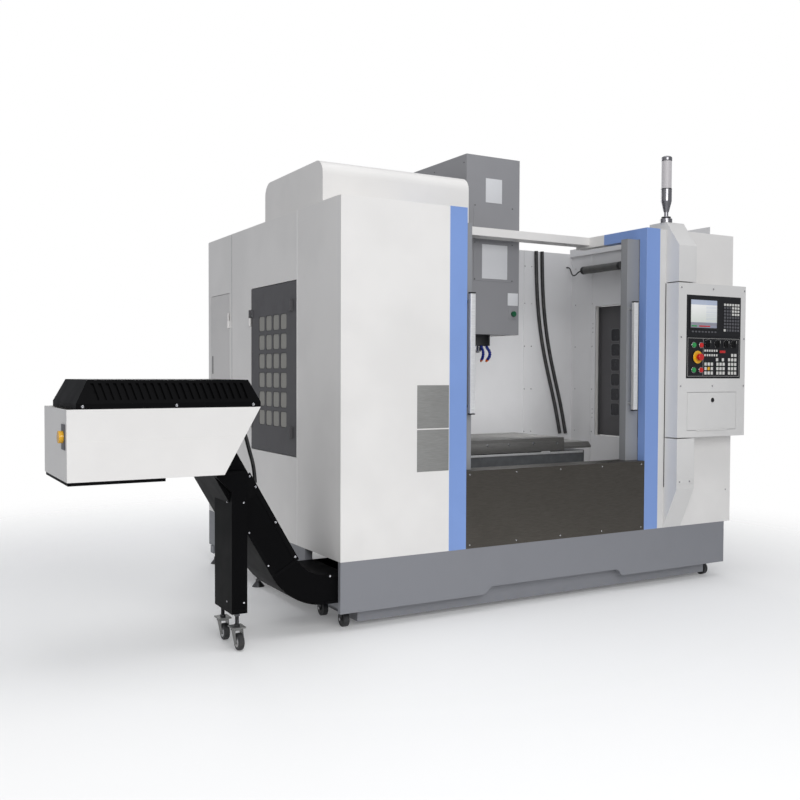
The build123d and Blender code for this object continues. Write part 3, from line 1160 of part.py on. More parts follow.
# Chip conveyor
def duct_form(inset, extra):
    """The duct's solid form: a level run, a bend and an incline, drawn in its side view."""
    a = math.radians(DUCT_ANGLE)
    low = TANK_TOP + inset
    high = TANK_TOP + DUCT_HEIGHT - inset
    start = FLANGE + extra
    cx, cz = DUCT_BEND_X, TANK_TOP + DUCT_HEIGHT + DUCT_BEND_RADIUS
    outer = DUCT_BEND_RADIUS + DUCT_HEIGHT - inset
    inner = DUCT_BEND_RADIUS + inset
    length = INCLINE_LENGTH + extra

    def on_arc(radius, turn):
        return (cx - radius * math.sin(turn), cz - radius * math.cos(turn))

    def up_incline(point):
        return (point[0] - length * math.cos(a), point[1] + length * math.sin(a))

    with BuildSketch(Plane.XZ.offset(inset - DUCT_BACK_Y)) as side:
        with BuildLine():
            Line((start, high), (start, low))
            Line((start, low), (cx, low))
            ThreePointArc((cx, low), on_arc(outer, a / 2), on_arc(outer, a))
            Line(on_arc(outer, a), up_incline(on_arc(outer, a)))
            Line(up_incline(on_arc(outer, a)), up_incline(on_arc(inner, a)))
            Line(up_incline(on_arc(inner, a)), on_arc(inner, a))
            ThreePointArc(on_arc(inner, a), on_arc(inner, a / 2), (cx, high))
            Line((cx, high), (start, high))
        make_face()
    return extrude(side.sketch, DUCT_BACK_Y - DUCT_FRONT_Y - 2 * inset)


def conveyor_duct():
    """Closed sheet housing in two bolted sections: the intake with the bend, and the incline."""
    duct = duct_form(0, 0) + conveyor_intake()
    duct = duct - duct_form(SHEET, 60) - head_box_form(0)
    incline = incline_side()
    return [duct - incline, duct & incline]


def incline_side():
    """All the room above the joint where the duct's bend runs out into its straight incline."""
    a = math.radians(DUCT_ANGLE)
    middle = DUCT_BEND_RADIUS + DUCT_HEIGHT / 2
    joint = (DUCT_BEND_X - middle * math.sin(a), (DUCT_FRONT_Y + DUCT_BACK_Y) / 2,
             TANK_TOP + DUCT_HEIGHT + DUCT_BEND_RADIUS - middle * math.cos(a))
    along = Plane(origin=joint, x_dir=(0, 1, 0), z_dir=(-math.cos(a), 0, math.sin(a)))
    room = Box(DUCT_BACK_Y, 2 * DUCT_HEIGHT, 2 * INCLINE_LENGTH, align=(Align.CENTER, Align.CENTER, Align.MIN))
    return along * room


def conveyor_intake():
    """Open trough of the conveyor inside the machine, under the front of the work area."""
    x0, x1 = FLANGE, INTAKE_RIGHT
    z0, z1 = TANK_TOP, TANK_TOP + DUCT_HEIGHT
    trough = block(x0, x1, DUCT_FRONT_Y, DUCT_BACK_Y, z0, z1)
    return trough - block(x0 - 1, x1 - SHEET, DUCT_FRONT_Y + SHEET, DUCT_BACK_Y - SHEET, z0 + SHEET, z1 + 1)


def head_box_form(inset):
    """The head box's side view, with its slanted right end, as one block."""
    z0 = CONVEYOR_BOTTOM + inset
    z1 = CONVEYOR_TOP + (1 if inset else 0)
    slope = CONVEYOR_TAPER / (CONVEYOR_TOP - CONVEYOR_BOTTOM)
    low_right = CONVEYOR_RIGHT - CONVEYOR_TAPER + slope * inset - inset * 1.15
    high_right = CONVEYOR_RIGHT + slope * (z1 - CONVEYOR_TOP) - inset * 1.15
    outline = [(CONVEYOR_LEFT + inset, z0), (low_right, z0), (high_right, z1), (CONVEYOR_LEFT + inset, z1)]
    return prism_y(outline, CONVEYOR_FRONT_Y + inset, DUCT_BACK_Y - inset)


def conveyor_head():
    """Sheet box with an open top under the vented cover and a chip chute in its floor."""
    box = head_box_form(0) - head_box_form(SHEET)
    chute = CONVEYOR_LEFT + CHUTE_INSET
    box -= block(chute, chute + CHUTE_LENGTH, CONVEYOR_FRONT_Y + CHUTE_INSET, DUCT_BACK_Y - CHUTE_INSET,
                 CONVEYOR_BOTTOM - 1, CONVEYOR_BOTTOM + SHEET + 1)
    return box - rod_x(CONVEYOR_LEFT - 1, CONVEYOR_LEFT + SHEET + 1, SWITCH_Y, SWITCH_Z, 6 + RUNNING_FIT)


def vent_form(inset):
    """The vented cover's tapered form above its flange."""
    x0, x1 = CONVEYOR_LEFT + VENT_INSET + inset, CONVEYOR_RIGHT - inset
    y0, y1 = CONVEYOR_FRONT_Y + inset, DUCT_BACK_Y - inset
    s = VENT_SLOPE
    middle = Pos((x0 + x1) / 2, (y0 + y1) / 2)
    lower = Plane.XY.offset(CONVEYOR_TOP + VENT_FLANGE) * middle * Rectangle(x1 - x0, y1 - y0)
    upper = Plane.XY.offset(VENT_TOP - inset) * middle * Rectangle(x1 - x0 - 2 * s, y1 - y0 - s)
    return loft([lower.face(), upper.face()])


def conveyor_vent_cover():
    x0, x1 = CONVEYOR_LEFT + VENT_INSET, CONVEYOR_RIGHT
    y0, y1 = CONVEYOR_FRONT_Y, DUCT_BACK_Y
    base = CONVEYOR_TOP
    cover = block(x0, x1, y0, y1, base, base + VENT_FLANGE) + vent_form(0)
    cover -= vent_form(SHEET)
    cover -= block(x0 + SHEET, x1 - SHEET, y0 + SHEET, y1 - SHEET, base - 1, base + VENT_FLANGE + 0.5)
    # Slanted louvre slots along the front and the back
    pitch = (x1 - x0 - 2 * VENT_SLOPE - 20) / VENT_SLOTS
    z0, z1 = base + VENT_FLANGE + 14, VENT_TOP - 14
    slots = []
    for slot in range(VENT_SLOTS):
        x = x0 + VENT_SLOPE + 10 + slot * pitch
        outline = [(x + 20, z0), (x + 20 + VENT_SLOT_WIDTH, z0), (x + VENT_SLOT_WIDTH, z1), (x, z1)]
        slots.append(prism_y(outline, y0 - 5, y1 + 5))
    return cover - slots


def conveyor_leg():
    y1 = LEG_BACK_Y
    leg = block(LEG_LEFT, LEG_RIGHT, 0, y1, LEG_BOTTOM, LEG_TOP)
    flare = [(LEG_LEFT, LEG_TOP - 1), (LEG_LEFT - 90, CONVEYOR_BOTTOM), (LEG_RIGHT, CONVEYOR_BOTTOM),
             (LEG_RIGHT, LEG_TOP - 1)]
    leg += prism_y(flare, 0, y1)
    leg -= duct_form(0, 0)
    for y in CASTER_YS:
        leg += caster_fork(CASTER_X, y)
    return leg


def caster_fork(x, y):
    """A caster's top plate, fork and axle on its threaded rod, the wheel trailing towards -Y."""
    yoke = rod_z(CASTER_HEIGHT - 12, LEG_BOTTOM, x, y, 8)
    yoke += block(x - 30, x + 30, y - 34, y + 34, CASTER_HEIGHT - 6, CASTER_HEIGHT)
    yoke += rod_z(CASTER_HEIGHT - 14, CASTER_HEIGHT - 6, x, y, 28)
    for side in (-1, 1):
        x0 = x + side * (WHEEL_WIDTH / 2 + 5) - 2
        wy = y - CASTER_TRAIL
        cheek = [(wy - 10, WHEEL_RADIUS - 10), (wy + 10, WHEEL_RADIUS - 10), (y + 26, CASTER_HEIGHT - 8),
                 (y - 24, CASTER_HEIGHT - 8)]
        yoke += prism_x(cheek, x0, x0 + 4)
    return yoke + rod_x(x - 22, x + 22, y - CASTER_TRAIL, WHEEL_RADIUS, 5)


def caster_wheel(x, y):
    wy = y - CASTER_TRAIL
    wheel = rod_x(x - WHEEL_WIDTH / 2, x + WHEEL_WIDTH / 2, wy, WHEEL_RADIUS, WHEEL_RADIUS)
    wheel = chamfer(wheel.edges().filter_by(GeomType.CIRCLE), 4)
    return wheel - rod_x(x - WHEEL_WIDTH, x + WHEEL_WIDTH, wy, WHEEL_RADIUS, 5 + RUNNING_FIT)


def power_switch():
    x = CONVEYOR_LEFT
    switch = rod_x(x - SWITCH_REACH, x - SLIDE_GAP, SWITCH_Y, SWITCH_Z, 24)
    return switch + rod_x(x - 1, x + 12, SWITCH_Y, SWITCH_Z, 6)


# Electrical cabinet
def electrical_cabinet():
    """Cabinet with two doors and louvres, hung on the column's foot and the rear panels."""
    x0, x1 = CABINET_LEFT, CABINET_RIGHT
    y0, y1 = CABINET_FRONT_Y, CABINET_BACK_Y
    box = block(x0, x1, y0, y1, CABINET_BOTTOM, CABINET_TOP)
    box -= block(x0 + SHEET, x1 - SHEET, y0 + SHEET, y1 - 12, CABINET_BOTTOM + SHEET, CABINET_TOP - SHEET)
    # The door leaves stand out from the rear by their fold, with a seam between them
    middle = (x0 + x1) / 2
    seams = [block(x0 + 30, x1 - 30, y1 - 4, y1 + 1, z - 2, z + 2) for z in (CABINET_BOTTOM + 40, CABINET_TOP - 40)]
    seams += [block(x - 2, x + 2, y1 - 4, y1 + 1, CABINET_BOTTOM + 40, CABINET_TOP - 40)
              for x in (x0 + 30, middle, x1 - 30)]
    box -= seams
    # Brackets to the rear panels
    for x in (x0 + 120, x1 - 180):
        for z in (CABINET_BOTTOM + 200, CABINET_TOP - 260):
            box += block(x, x + 60, DEPTH, y0 + 1, z, z + 60)
    # Filter louvres and the heat exchanger's housing on the rear
    for row in range(8):
        z = CABINET_BOTTOM + 160 + row * 26
        box -= block(x0 + 160, x0 + 480, y1 - 8, y1 + 1, z, z + 10)
    return box


# Hoses and leads
def routed(points, radius, bend):
    """A hose or lead along straight runs joined by tangent arcs."""
    path = FilletPolyline(*points, radius=bend)
    return sweep(Plane(origin=points[0], z_dir=path % 0) * Circle(radius), path=path)


def hoses_and_leads():
    """Two wash hoses on the back wall, the lamp's lead and the conveyor motor's lead."""
    leads = []
    for shift in (0, 52):
        x = RIGHT_WALL_X - 338 + shift
        y = BACK_WALL_Y - SLIDE_GAP - HOSE_RADIUS
        points = [(x, y, POST_TOP), (x + 4, y, 1900), (x + 14, y, 1730), (x + 34, y, 1560),
                  (x + 66, y, 1390), (x + 108, y, 1230), (x + 152, y, 1080), (x + 194, y, 930),
                  (x + 226, y, 780)]
        leads.append(routed(points, HOSE_RADIUS, 300))
    x, z = LAMP_X, LAMP_Z
    wall = BACK_WALL_Y
    points = [(x, LAMP_BACK_Y, z), (x, LAMP_BACK_Y + 40, z), (x, LAMP_BACK_Y + 85, z - 30),
              (x, LAMP_BACK_Y + 120, z - 20), (x, wall - 35, z + 38), (x, wall, z + 38)]
    leads.append(routed(points, 5, 22))
    top_z = 1010
    end_x = CONVEYOR_RIGHT - CONVEYOR_TAPER * (CONVEYOR_TOP - top_z) / (CONVEYOR_TOP - CONVEYOR_BOTTOM)
    slant = math.atan2(CONVEYOR_TAPER, CONVEYOR_TOP - CONVEYOR_BOTTOM)
    points = [(end_x, LEAD_Y, top_z), (end_x + 45 * math.cos(slant), LEAD_Y, top_z - 45 * math.sin(slant)),
              (end_x + 78, LEAD_Y, top_z - 80),
              (end_x + 98, LEAD_Y, top_z - 160), (end_x + 122, LEAD_Y, top_z - 240), (end_x + 126, LEAD_Y, 700)]
    leads.append(routed(points, 9, 45))
    return leads


# Every node of the machine, in its place
PARTS = {
    "base_casting": base_casting,
    "column": column,
    "levelling_feet": levelling_feet,
    "lower_frame": lower_frame,
    "coolant_tank": coolant_tank,
    "left_front_panel": left_front_panel,
    "left_side_panel": left_side_panel,
    "right_cabinet": right_cabinet,
    "left_blue_strip": left_strip,
    "right_blue_strip": right_strip,
    "overhead_beam": overhead_beam,
    "apron_plate": apron_plate,
    "inner_walls": inner_walls,
    "chip_tray": chip_tray,
    "magazine_cover": magazine_cover,
    "tool_changer_housing": changer_housing,
    "control_post": control_post,
    "pendant_box": pendant_box,
    "display_unit": display_unit,
    "operator_panel": operator_panel,
    "signal_tower": signal_tower,
    "work_lamp": work_lamp,
    "hoses_and_leads": hoses_and_leads,
    "conveyor_duct": conveyor_duct,
    "conveyor_head_box": conveyor_head,
    "conveyor_vent_cover": conveyor_vent_cover,
    "conveyor_leg": conveyor_leg,
    "electrical_cabinet": electrical_cabinet,
    "saddle": saddle,
    "x_ball_screw": x_ball_screw,
    "y_ball_screw": y_ball_screw,
    "z_ball_screw": z_ball_screw,
    "table": table,
    "head_casting": head_casting,
    "head_cover": head_cover,
    "spindle": spindle,
    "spindle_motor": spindle_motor,
    "coolant_nozzles": coolant_nozzles,
    "tool_magazine": tool_magazine,
    "change_arm": change_arm,
    "left_door": left_door,
    "right_door": right_door,
    "left_door_window": lambda: door_window(LEFT_DOOR_EDGE - DOOR_WIDTH),
    "right_door_window": lambda: door_window(RIGHT_DOOR_EDGE),
    "left_service_door": service_door,
    "right_service_door": lambda: mirrored_in_machine(service_door()),
    "rear_access_door": access_door,
    "storage_door": storage_door,
    "emergency_stop": emergency_stop,
    "cycle_start_button": lambda: push_button(LEFT_BUTTON_X, UPPER_BUTTON_Z),
    "feed_hold_button": lambda: push_button(RIGHT_BUTTON_X, UPPER_BUTTON_Z),
    "power_on_button": lambda: push_button(LEFT_BUTTON_X, LOWER_BUTTON_Z),
    "power_off_button": lambda: push_button(RIGHT_BUTTON_X, LOWER_BUTTON_Z),
    "mode_knob": lambda: selector_knob(KNOB_XS[0]),
    "feed_knob": lambda: selector_knob(KNOB_XS[1]),
    "rapid_knob": lambda: selector_knob(KNOB_XS[2]),
    "spindle_knob": lambda: selector_knob(KNOB_XS[3]),
    "conveyor_switch": power_switch,
    "front_caster_wheel": lambda: caster_wheel(CASTER_X, CASTER_YS[0]),
    "rear_caster_wheel": lambda: caster_wheel(CASTER_X, CASTER_YS[1]),
}


def main():
    os.makedirs("parts", exist_ok=True)
    home = Pos(-ORIGIN_X, -ORIGIN_Y, 0)
    for name, make in PARTS.items():
        shape = make()
        solids = shape if isinstance(shape, list) else [shape]
        placed = [home * solid for solid in solids]
        whole = placed[0] if len(placed) == 1 else Compound(children=placed)
        export_step(whole, f"parts/{name}.step")


main()
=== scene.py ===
from math import atan2, cos, pi, radians, sin
import bmesh
import bpy
from mathutils import Matrix, Vector


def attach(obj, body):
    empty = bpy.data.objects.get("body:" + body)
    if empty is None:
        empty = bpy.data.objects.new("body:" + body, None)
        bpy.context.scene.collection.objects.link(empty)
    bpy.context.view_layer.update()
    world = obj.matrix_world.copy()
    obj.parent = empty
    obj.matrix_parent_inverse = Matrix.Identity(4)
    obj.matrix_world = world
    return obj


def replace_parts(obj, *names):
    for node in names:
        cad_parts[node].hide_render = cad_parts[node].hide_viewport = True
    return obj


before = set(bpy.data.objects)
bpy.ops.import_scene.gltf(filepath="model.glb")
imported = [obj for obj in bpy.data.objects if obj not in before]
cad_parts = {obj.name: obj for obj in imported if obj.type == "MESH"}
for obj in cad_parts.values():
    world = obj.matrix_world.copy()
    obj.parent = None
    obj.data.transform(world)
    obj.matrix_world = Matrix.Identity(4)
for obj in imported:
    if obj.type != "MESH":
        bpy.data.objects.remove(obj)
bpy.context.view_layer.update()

# The looks of the machining centre, drawn in millimetres from the enclosure's front left lower
# corner, as part.py is, and moved to the frame's origin by HOME.
HOME = Vector((-0.682, -1.062, 0.0))
MM = 0.001

# Driving places and sizes, the same as in the solids
WIDTH = 2600.0
PANEL_BOTTOM = 330.0
PANEL_TOP = 2026.0
BACK_WALL_Y = 1402.0
RIGHT_WALL_X = 2550.0
WINDOW_SIZE = 84.0
WINDOW_RADIUS = 16.0
WINDOW_PITCH = 102.5
WINDOW_FRONT_Y = 678.0
WINDOW_LOWEST_Z = 963.0
PANEL_FRONT_Y = -100.0
SCREEN_LEFT = 2146.5
SCREEN_RIGHT = 2357.5
SCREEN_BOTTOM = 1472.0
SCREEN_TOP = 1630.0
KEY_PITCH = 25.5
LAMP_X = 2500
LAMP_Z = 1934
SPINDLE_X = 1289.0
SPINDLE_Y = 813.0
NOSE_Z = 1340.0
NOSE_HEIGHT = 34.0
COVER_FRONT_Y = 613.0
CONVEYOR_LEFT = -1230.0
CONVEYOR_RIGHT = -437.0
CONVEYOR_FRONT_Y = -118.0
CONVEYOR_BACK_Y = 388.0
CONVEYOR_BOTTOM = 780.0
CONVEYOR_TOP = 1063.0
CONVEYOR_TAPER = 161.0
CASTER_X = -497
AXLE_Z = 37

# Depth of the paint's relief and rounding of rendered edges, in metres
PEEL = 0.00006
SHEET_EDGE = 0.0012
MACHINED_EDGE = 0.0008
MOULDED_EDGE = 0.0006


def at(x, y, z):
    """A point of the machine, from millimetres to the frame."""
    return Vector((x, y, z)) * MM + HOME


# Node graphs
def feed(tree, socket, value):
    """Link a wire to an input socket, or set the socket's own value."""
    if isinstance(value, Wire):
        tree.links.new(value.socket, socket)
    else:
        socket.default_value = value


class Wire:
    """An output socket that takes part in ordinary arithmetic."""

    def __init__(self, tree, socket):
        self.tree = tree
        self.socket = socket

    def _join(self, operation, first, second):
        node = self.tree.nodes.new("ShaderNodeMath")
        node.operation = operation
        for place, value in enumerate((first, second)):
            feed(self.tree, node.inputs[place], value)
        return Wire(self.tree, node.outputs[0])

    def __add__(self, other):
        return self._join("ADD", self, other)

    def __sub__(self, other):
        return self._join("SUBTRACT", self, other)

    def __mul__(self, other):
        return self._join("MULTIPLY", self, other)

    def power(self, exponent):
        return self._join("POWER", self, exponent)

    def above(self, level):
        return self._join("GREATER_THAN", self, level)


class Finish:
    """A material under construction: a shader and short calls for the nodes that feed it."""

    def __init__(self, name, color, roughness, metallic=0.0, coat=0.0, specular=0.5):
        self.material = bpy.data.materials.new(name)
        self.material.use_nodes = True
        self.tree = self.material.node_tree
        self.shader = self.tree.nodes["Principled BSDF"]
        self.set("Base Color", (*color, 1.0))
        self.set("Roughness", roughness)
        self.set("Metallic", metallic)
        self.set("Coat Weight", coat)
        self.set("Coat Roughness", 0.12)
        self.set("Specular IOR Level", specular)

    def set(self, name, value):
        feed(self.tree, self.shader.inputs[name], value)

    def node(self, kind, inputs=(), **values):
        made = self.tree.nodes.new("ShaderNode" + kind)
        for key, value in values.items():
            setattr(made, key, value)
        for key, value in dict(inputs).items():
            feed(self.tree, made.inputs[key], value)
        return made

    def wire(self, node, output=0):
        return Wire(self.tree, node.outputs[output])

    def place(self, stretch=(1, 1, 1)):
        coordinates = self.wire(self.node("TexCoord"), "Object")
        if tuple(stretch) == (1, 1, 1):
            return coordinates
        return self.wire(self.node("Mapping", {"Vector": coordinates, "Scale": stretch}))

    def axis(self, name):
        split = self.node("SeparateXYZ", {"Vector": self.place()})
        return self.wire(split, name)

    def noise(self, scale, detail=2.0, stretch=(1, 1, 1)):
        inputs = {"Vector": self.place(stretch), "Scale": scale, "Detail": detail}
        return self.wire(self.node("TexNoise", inputs), "Fac")

    def cells(self, scale):
        inputs = {"Vector": self.place(), "Scale": scale}
        return self.wire(self.node("TexVoronoi", inputs), "Distance")

    def step(self, value, low, high):
        """0 below low, 1 above high, and smooth between."""
        inputs = {"Value": value, "From Min": low, "From Max": high}
        return self.wire(self.node("MapRange", inputs, interpolation_type="SMOOTHSTEP"))

    def blend(self, factor, first, second):
        node = self.node("Mix", data_type="RGBA")
        for place, value in ((0, factor), (6, first), (7, second)):
            color = (*value, 1.0) if isinstance(value, tuple) else value
            feed(self.tree, node.inputs[place], color)
        return self.wire(node, 2)

    def edge(self, radius=0.0025):
        """1 along the edges of the sheet, 0 on its faces."""
        bevel = self.node("Bevel", {"Radius": radius}, samples=4)
        geometry = self.node("NewGeometry")
        dot = self.node("VectorMath", operation="DOT_PRODUCT")
        self.tree.links.new(bevel.outputs[0], dot.inputs[0])
        self.tree.links.new(geometry.outputs["Normal"], dot.inputs[1])
        return self.step(Wire(self.tree, dot.outputs["Value"]) * -1.0, -0.985, -0.8)

    def made(self, color, roughness, height, distance, strength=1.0, rounded=0.0):
        """The material with its colour, roughness and relief, edges rounded where asked."""
        self.set("Base Color", color)
        self.set("Roughness", roughness)
        inputs = {"Height": height, "Distance": distance, "Strength": strength}
        if rounded:
            bevel = self.node("Bevel", {"Radius": rounded}, samples=4)
            inputs["Normal"] = self.wire(bevel)
        self.set("Normal", self.wire(self.node("Bump", inputs)))
        return self.material


def tone(color, factor):
    return tuple(min(1.0, c * factor) for c in color)


def painted(name, color, roughness=0.4, grain=900.0, low_darkening=0.0, specular=0.5):
    """Powder coat: fine orange peel, slow changes of tone, a painted edge highlight, darker low
    down.
    """
    f = Finish(name, color, roughness, specular=specular)
    drift = f.noise(2.3, 3.0)
    base = f.blend(f.step(drift, 0.35, 0.68), tone(color, 0.965), tone(color, 1.025))
    # Painted highlight: paler along the edges
    base = f.blend(f.edge() * 0.35, base, tone(color, 1.22))
    # Darker towards the bottom, by the amount given
    if low_darkening:
        low = f.step(f.axis("Z") + f.noise(7.0, 4.0) * 0.22, 0.62, 0.18)
        base = f.blend(low * low_darkening, base, tone(color, 0.72))
    smudge = f.step(f.noise(5.5, 5.0), 0.56, 0.75)
    base = f.blend(smudge * 0.12, base, tone(color, 0.9))
    rough = f.noise(11.0, 3.0) * 0.14 + (roughness - 0.07) + smudge * 0.05
    return f.made(base, rough, f.noise(grain, 2.0), PEEL, 0.5, SHEET_EDGE)


def two_tone(name, first, second, place, roughness=0.4):
    """Paint that changes colour behind a given Y, as the roof rail does."""
    f = Finish(name, first, roughness)
    split = f.axis("Y").above((place * MM) + HOME.y)
    base = f.blend(split, first, second)
    # Painted highlight along the edges
    base = f.blend(f.edge() * 0.3, base, tone(second, 1.1))
    smudge = f.step(f.noise(6.0, 5.0), 0.55, 0.75)
    base = f.blend(smudge * 0.1, base, tone(first, 0.85))
    rough = f.noise(10.0) * 0.12 + roughness - 0.06
    return f.made(base, rough, f.noise(900.0), PEEL, 0.5, SHEET_EDGE)


def brushed(name, color, roughness=0.3, metallic=0.95, stains=0.3):
    """Sheet metal brushed along X, with faint stains and a painted highlight along the edges."""
    f = Finish(name, color, roughness, metallic=metallic)
    along = (1, 60, 60)
    strokes = f.noise(24.0, 6.0, along)
    fine = f.noise(160.0, 4.0, along)
    base = f.blend(f.step(strokes, 0.3, 0.7), tone(color, 0.84), tone(color, 1.16))
    blotch = f.step(f.noise(3.2, 5.0), 0.45, 0.72)
    base = f.blend(blotch * stains, base, tone(color, 0.62))
    # Painted highlight along the edges
    base = f.blend(f.edge() * 0.5, base, tone(color, 1.6))
    rough = strokes * 0.16 + blotch * 0.1 + (roughness - 0.08)
    return f.made(base, rough, fine, 0.00004, 0.45, MACHINED_EDGE)


def cast(name, color, roughness=0.55, lumpy=1.0, motor=0.0):
    """Painted casting: a lumpy skin under thick enamel, with a black motor above a given height."""
    f = Finish(name, color, roughness)
    lumps = f.noise(26.0, 4.0)
    dark, pale = tone(color, 1 - 0.12 * lumpy), tone(color, 1 + 0.1 * lumpy)
    base = f.blend(f.step(lumps, 0.35, 0.7), dark, pale)
    # Painted highlight along the edges
    base = f.blend(f.edge(0.004) * 0.4, base, tone(color, 1.5))
    if motor:
        base = f.blend(f.axis("Z").above(motor), base, (0.016, 0.016, 0.017))
    rough = lumps * 0.2 + (roughness - 0.1)
    return f.made(base, rough, lumps * 1.0 + f.noise(140.0, 3.0) * 0.3, 0.0006, 0.5, 0.003)


def machined(name, color, roughness=0.22):
    """Ground or turned steel with an oily film."""
    f = Finish(name, color, roughness, metallic=1.0)
    lay = f.noise(210.0, 3.0, (1, 9, 9))
    film = f.step(f.noise(9.0, 4.0), 0.42, 0.7)
    base = f.blend(lay * 0.4, color, tone(color, 0.7))
    # Painted highlight along the edges
    base = f.blend(f.edge(0.0015) * 0.5, base, tone(color, 1.4))
    oil = (color[0] * 0.7, color[1] * 0.64, color[2] * 0.52)
    base = f.blend(film * 0.25, base, oil)
    rough = lay * 0.12 + film * 0.12 + (roughness - 0.08)
    return f.made(base, rough, lay, 0.00003, 0.4, MACHINED_EDGE)


def polished(name, color, roughness=0.1):
    """Bright plated metal: only a breath of smears over a smooth skin."""
    f = Finish(name, color, roughness, metallic=1.0)
    smear = f.step(f.noise(14.0, 4.0), 0.45, 0.7)
    base = f.blend(smear * 0.3, color, tone(color, 0.7))
    rough = smear * 0.12 + roughness
    return f.made(base, rough, smear, 0.00001, 0.2, MOULDED_EDGE)


def moulded(name, color, roughness=0.42, grain=700.0, coat=0.0, marks=0.25, specular=0.3):
    """Moulded plastic with a spark-eroded grain and light finger marks."""
    f = Finish(name, color, roughness, coat=coat, specular=specular)
    touched = f.step(f.noise(38.0, 4.0), 0.5, 0.72)
    base = f.blend(touched * marks, color, tone(color, 1.35))
    # Painted highlight along the edges
    base = f.blend(f.edge(0.001) * 0.35, base, tone(color, 1.8))
    rough = touched * 0.12 + (roughness - 0.03)
    return f.made(base, rough, f.noise(grain, 2.0), 0.00005, 0.35, MOULDED_EDGE)


def rubbery(name, color, roughness=0.6):
    """Rubber with a fine skin and a film of dust."""
    f = Finish(name, color, roughness)
    dust = f.step(f.noise(30.0, 5.0), 0.45, 0.75)
    base = f.blend(dust * 0.35, color, (0.09, 0.085, 0.08))
    rough = dust * 0.2 + (roughness - 0.08)
    return f.made(base, rough, f.noise(420.0, 3.0), 0.00012, 0.5, MACHINED_EDGE)


def glassy(name, color, roughness=0.06):
    """Clear pane: a faint tint, wiping marks and dried splashes."""
    f = Finish(name, color, roughness, specular=0.8)
    wipe = f.step(f.noise(5.0, 4.0, (1, 1, 3)), 0.46, 0.75)
    specks = f.step(f.cells(90.0), 0.1, 0.02)
    f.set("Alpha", wipe * 0.06 + specks * 0.1 + 0.32)
    base = f.blend(specks * 0.5, color, (0.62, 0.62, 0.6))
    return f.made(base, wipe * 0.12 + specks * 0.3 + roughness, f.noise(3.0), 0.0004, 0.1)


def frosted(name, color, roughness=0.2):
    """Frosted tube or lens with faint bands along it, unlit."""
    f = Finish(name, color, roughness)
    bands = f.noise(26.0, 0.0, (1, 1, 0.02))
    base = f.blend(f.step(bands, 0.4, 0.62) * 0.5, color, tone(color, 0.8))
    rough = bands * 0.1 + (roughness - 0.05)
    return f.made(base, rough, bands, 0.00001, 0.1)


def tank_paint(name, color, caster):
    """The tank's grey paint, with its casters at both ends in dark plating."""
    f = Finish(name, color, 0.46)
    smudge = f.step(f.noise(5.5, 5.0), 0.5, 0.75)
    base = f.blend(smudge * 0.14, color, tone(color, 0.82))
    # Painted highlight along the edges
    base = f.blend(f.edge() * 0.35, base, tone(color, 1.22))
    ends = (f.axis("X") * -1.0).above(-at(108, 0, 0).x) + f.axis("X").above(at(2458, 0, 0).x)
    low = (f.axis("Z") * -1.0).above(-0.0975) * f.axis("Y").above(at(0, 30, 0).y)
    f.set("Metallic", ends * low * 0.7)
    base = f.blend(ends * low, base, caster)
    rough = f.noise(11.0, 3.0) * 0.14 + 0.39
    return f.made(base, rough, f.noise(500.0, 2.0), PEEL, 0.5, SHEET_EDGE)


def leg_paint(name, color, zinc):
    """Black powder coat on the leg and its rods, and zinc on the caster forks below them."""
    f = Finish(name, color, 0.5, specular=0.05)
    low = (f.axis("Z") * -1.0).above(-0.0985)
    film = f.step(f.noise(30.0, 4.0), 0.4, 0.7)
    plated = f.blend(film * 0.4, zinc, tone(zinc, 0.6))
    # Painted highlight along the edges of the zinc forks
    plated = f.blend(f.edge(0.0015) * 0.5, plated, tone(zinc, 1.9))
    f.set("Metallic", low * 0.85)
    base = f.blend(low, color, plated)
    rough = low * -0.16 + f.noise(11.0, 3.0) * 0.12 + 0.44
    return f.made(base, rough, f.noise(380.0, 2.0), PEEL, 0.5, SHEET_EDGE)


def screen_glass(name):
    """A lit display with plain bands of colour, graph lines and no characters."""
    f = Finish(name, (0.5, 0.55, 0.58), 0.12, coat=1.0)
    height = f.step(f.axis("Z"), SCREEN_BOTTOM * MM, SCREEN_TOP * MM)
    # The glass's left and right side in the frame, in metres
    across = f.step(f.axis("X"), 1.464, 1.676)
    base = f.blend(height, (0.50, 0.53, 0.49), (0.68, 0.68, 0.67))
    base = f.blend(height.above(0.92), base, (0.34, 0.38, 0.47))
    foot = (height * -1.0).above(-0.1)
    base = f.blend(foot, base, (0.20, 0.20, 0.24))
    rows = f.step(f.noise(1.0, 0.0, (0.001, 0.001, 230)), 0.5, 0.56)
    column = across.above(0.62)
    base = f.blend(rows * column * 0.35, base, (0.25, 0.32, 0.5))
    f.set("Emission Color", base)
    f.set("Emission Strength", 0.35)
    rough = f.step(f.noise(12.0, 4.0), 0.5, 0.8) * 0.1 + 0.08
    return f.made(base, rough, f.noise(3.0), 0.0002, 0.1)


def mesh_pane(name, color):
    """Perforated sheet behind the service doors' windows."""
    f = Finish(name, color, 0.55)
    holes = f.step(f.cells(230.0), 0.22, 0.34)
    drift = f.noise(7.0, 4.0)
    base = f.blend(drift * 0.5, color, tone(color, 0.78))
    base = f.blend(holes * 0.35, base, tone(color, 0.55))
    rough = drift * 0.2 + 0.4
    return f.made(base, rough, holes, 0.0004, 0.5)


WHITE = (0.79, 0.775, 0.755)
BLUE = (0.205, 0.325, 0.655)
SKIRT_GREY = (0.218, 0.223, 0.243)
CONVEYOR_BLACK = (0.0022, 0.0022, 0.0026)

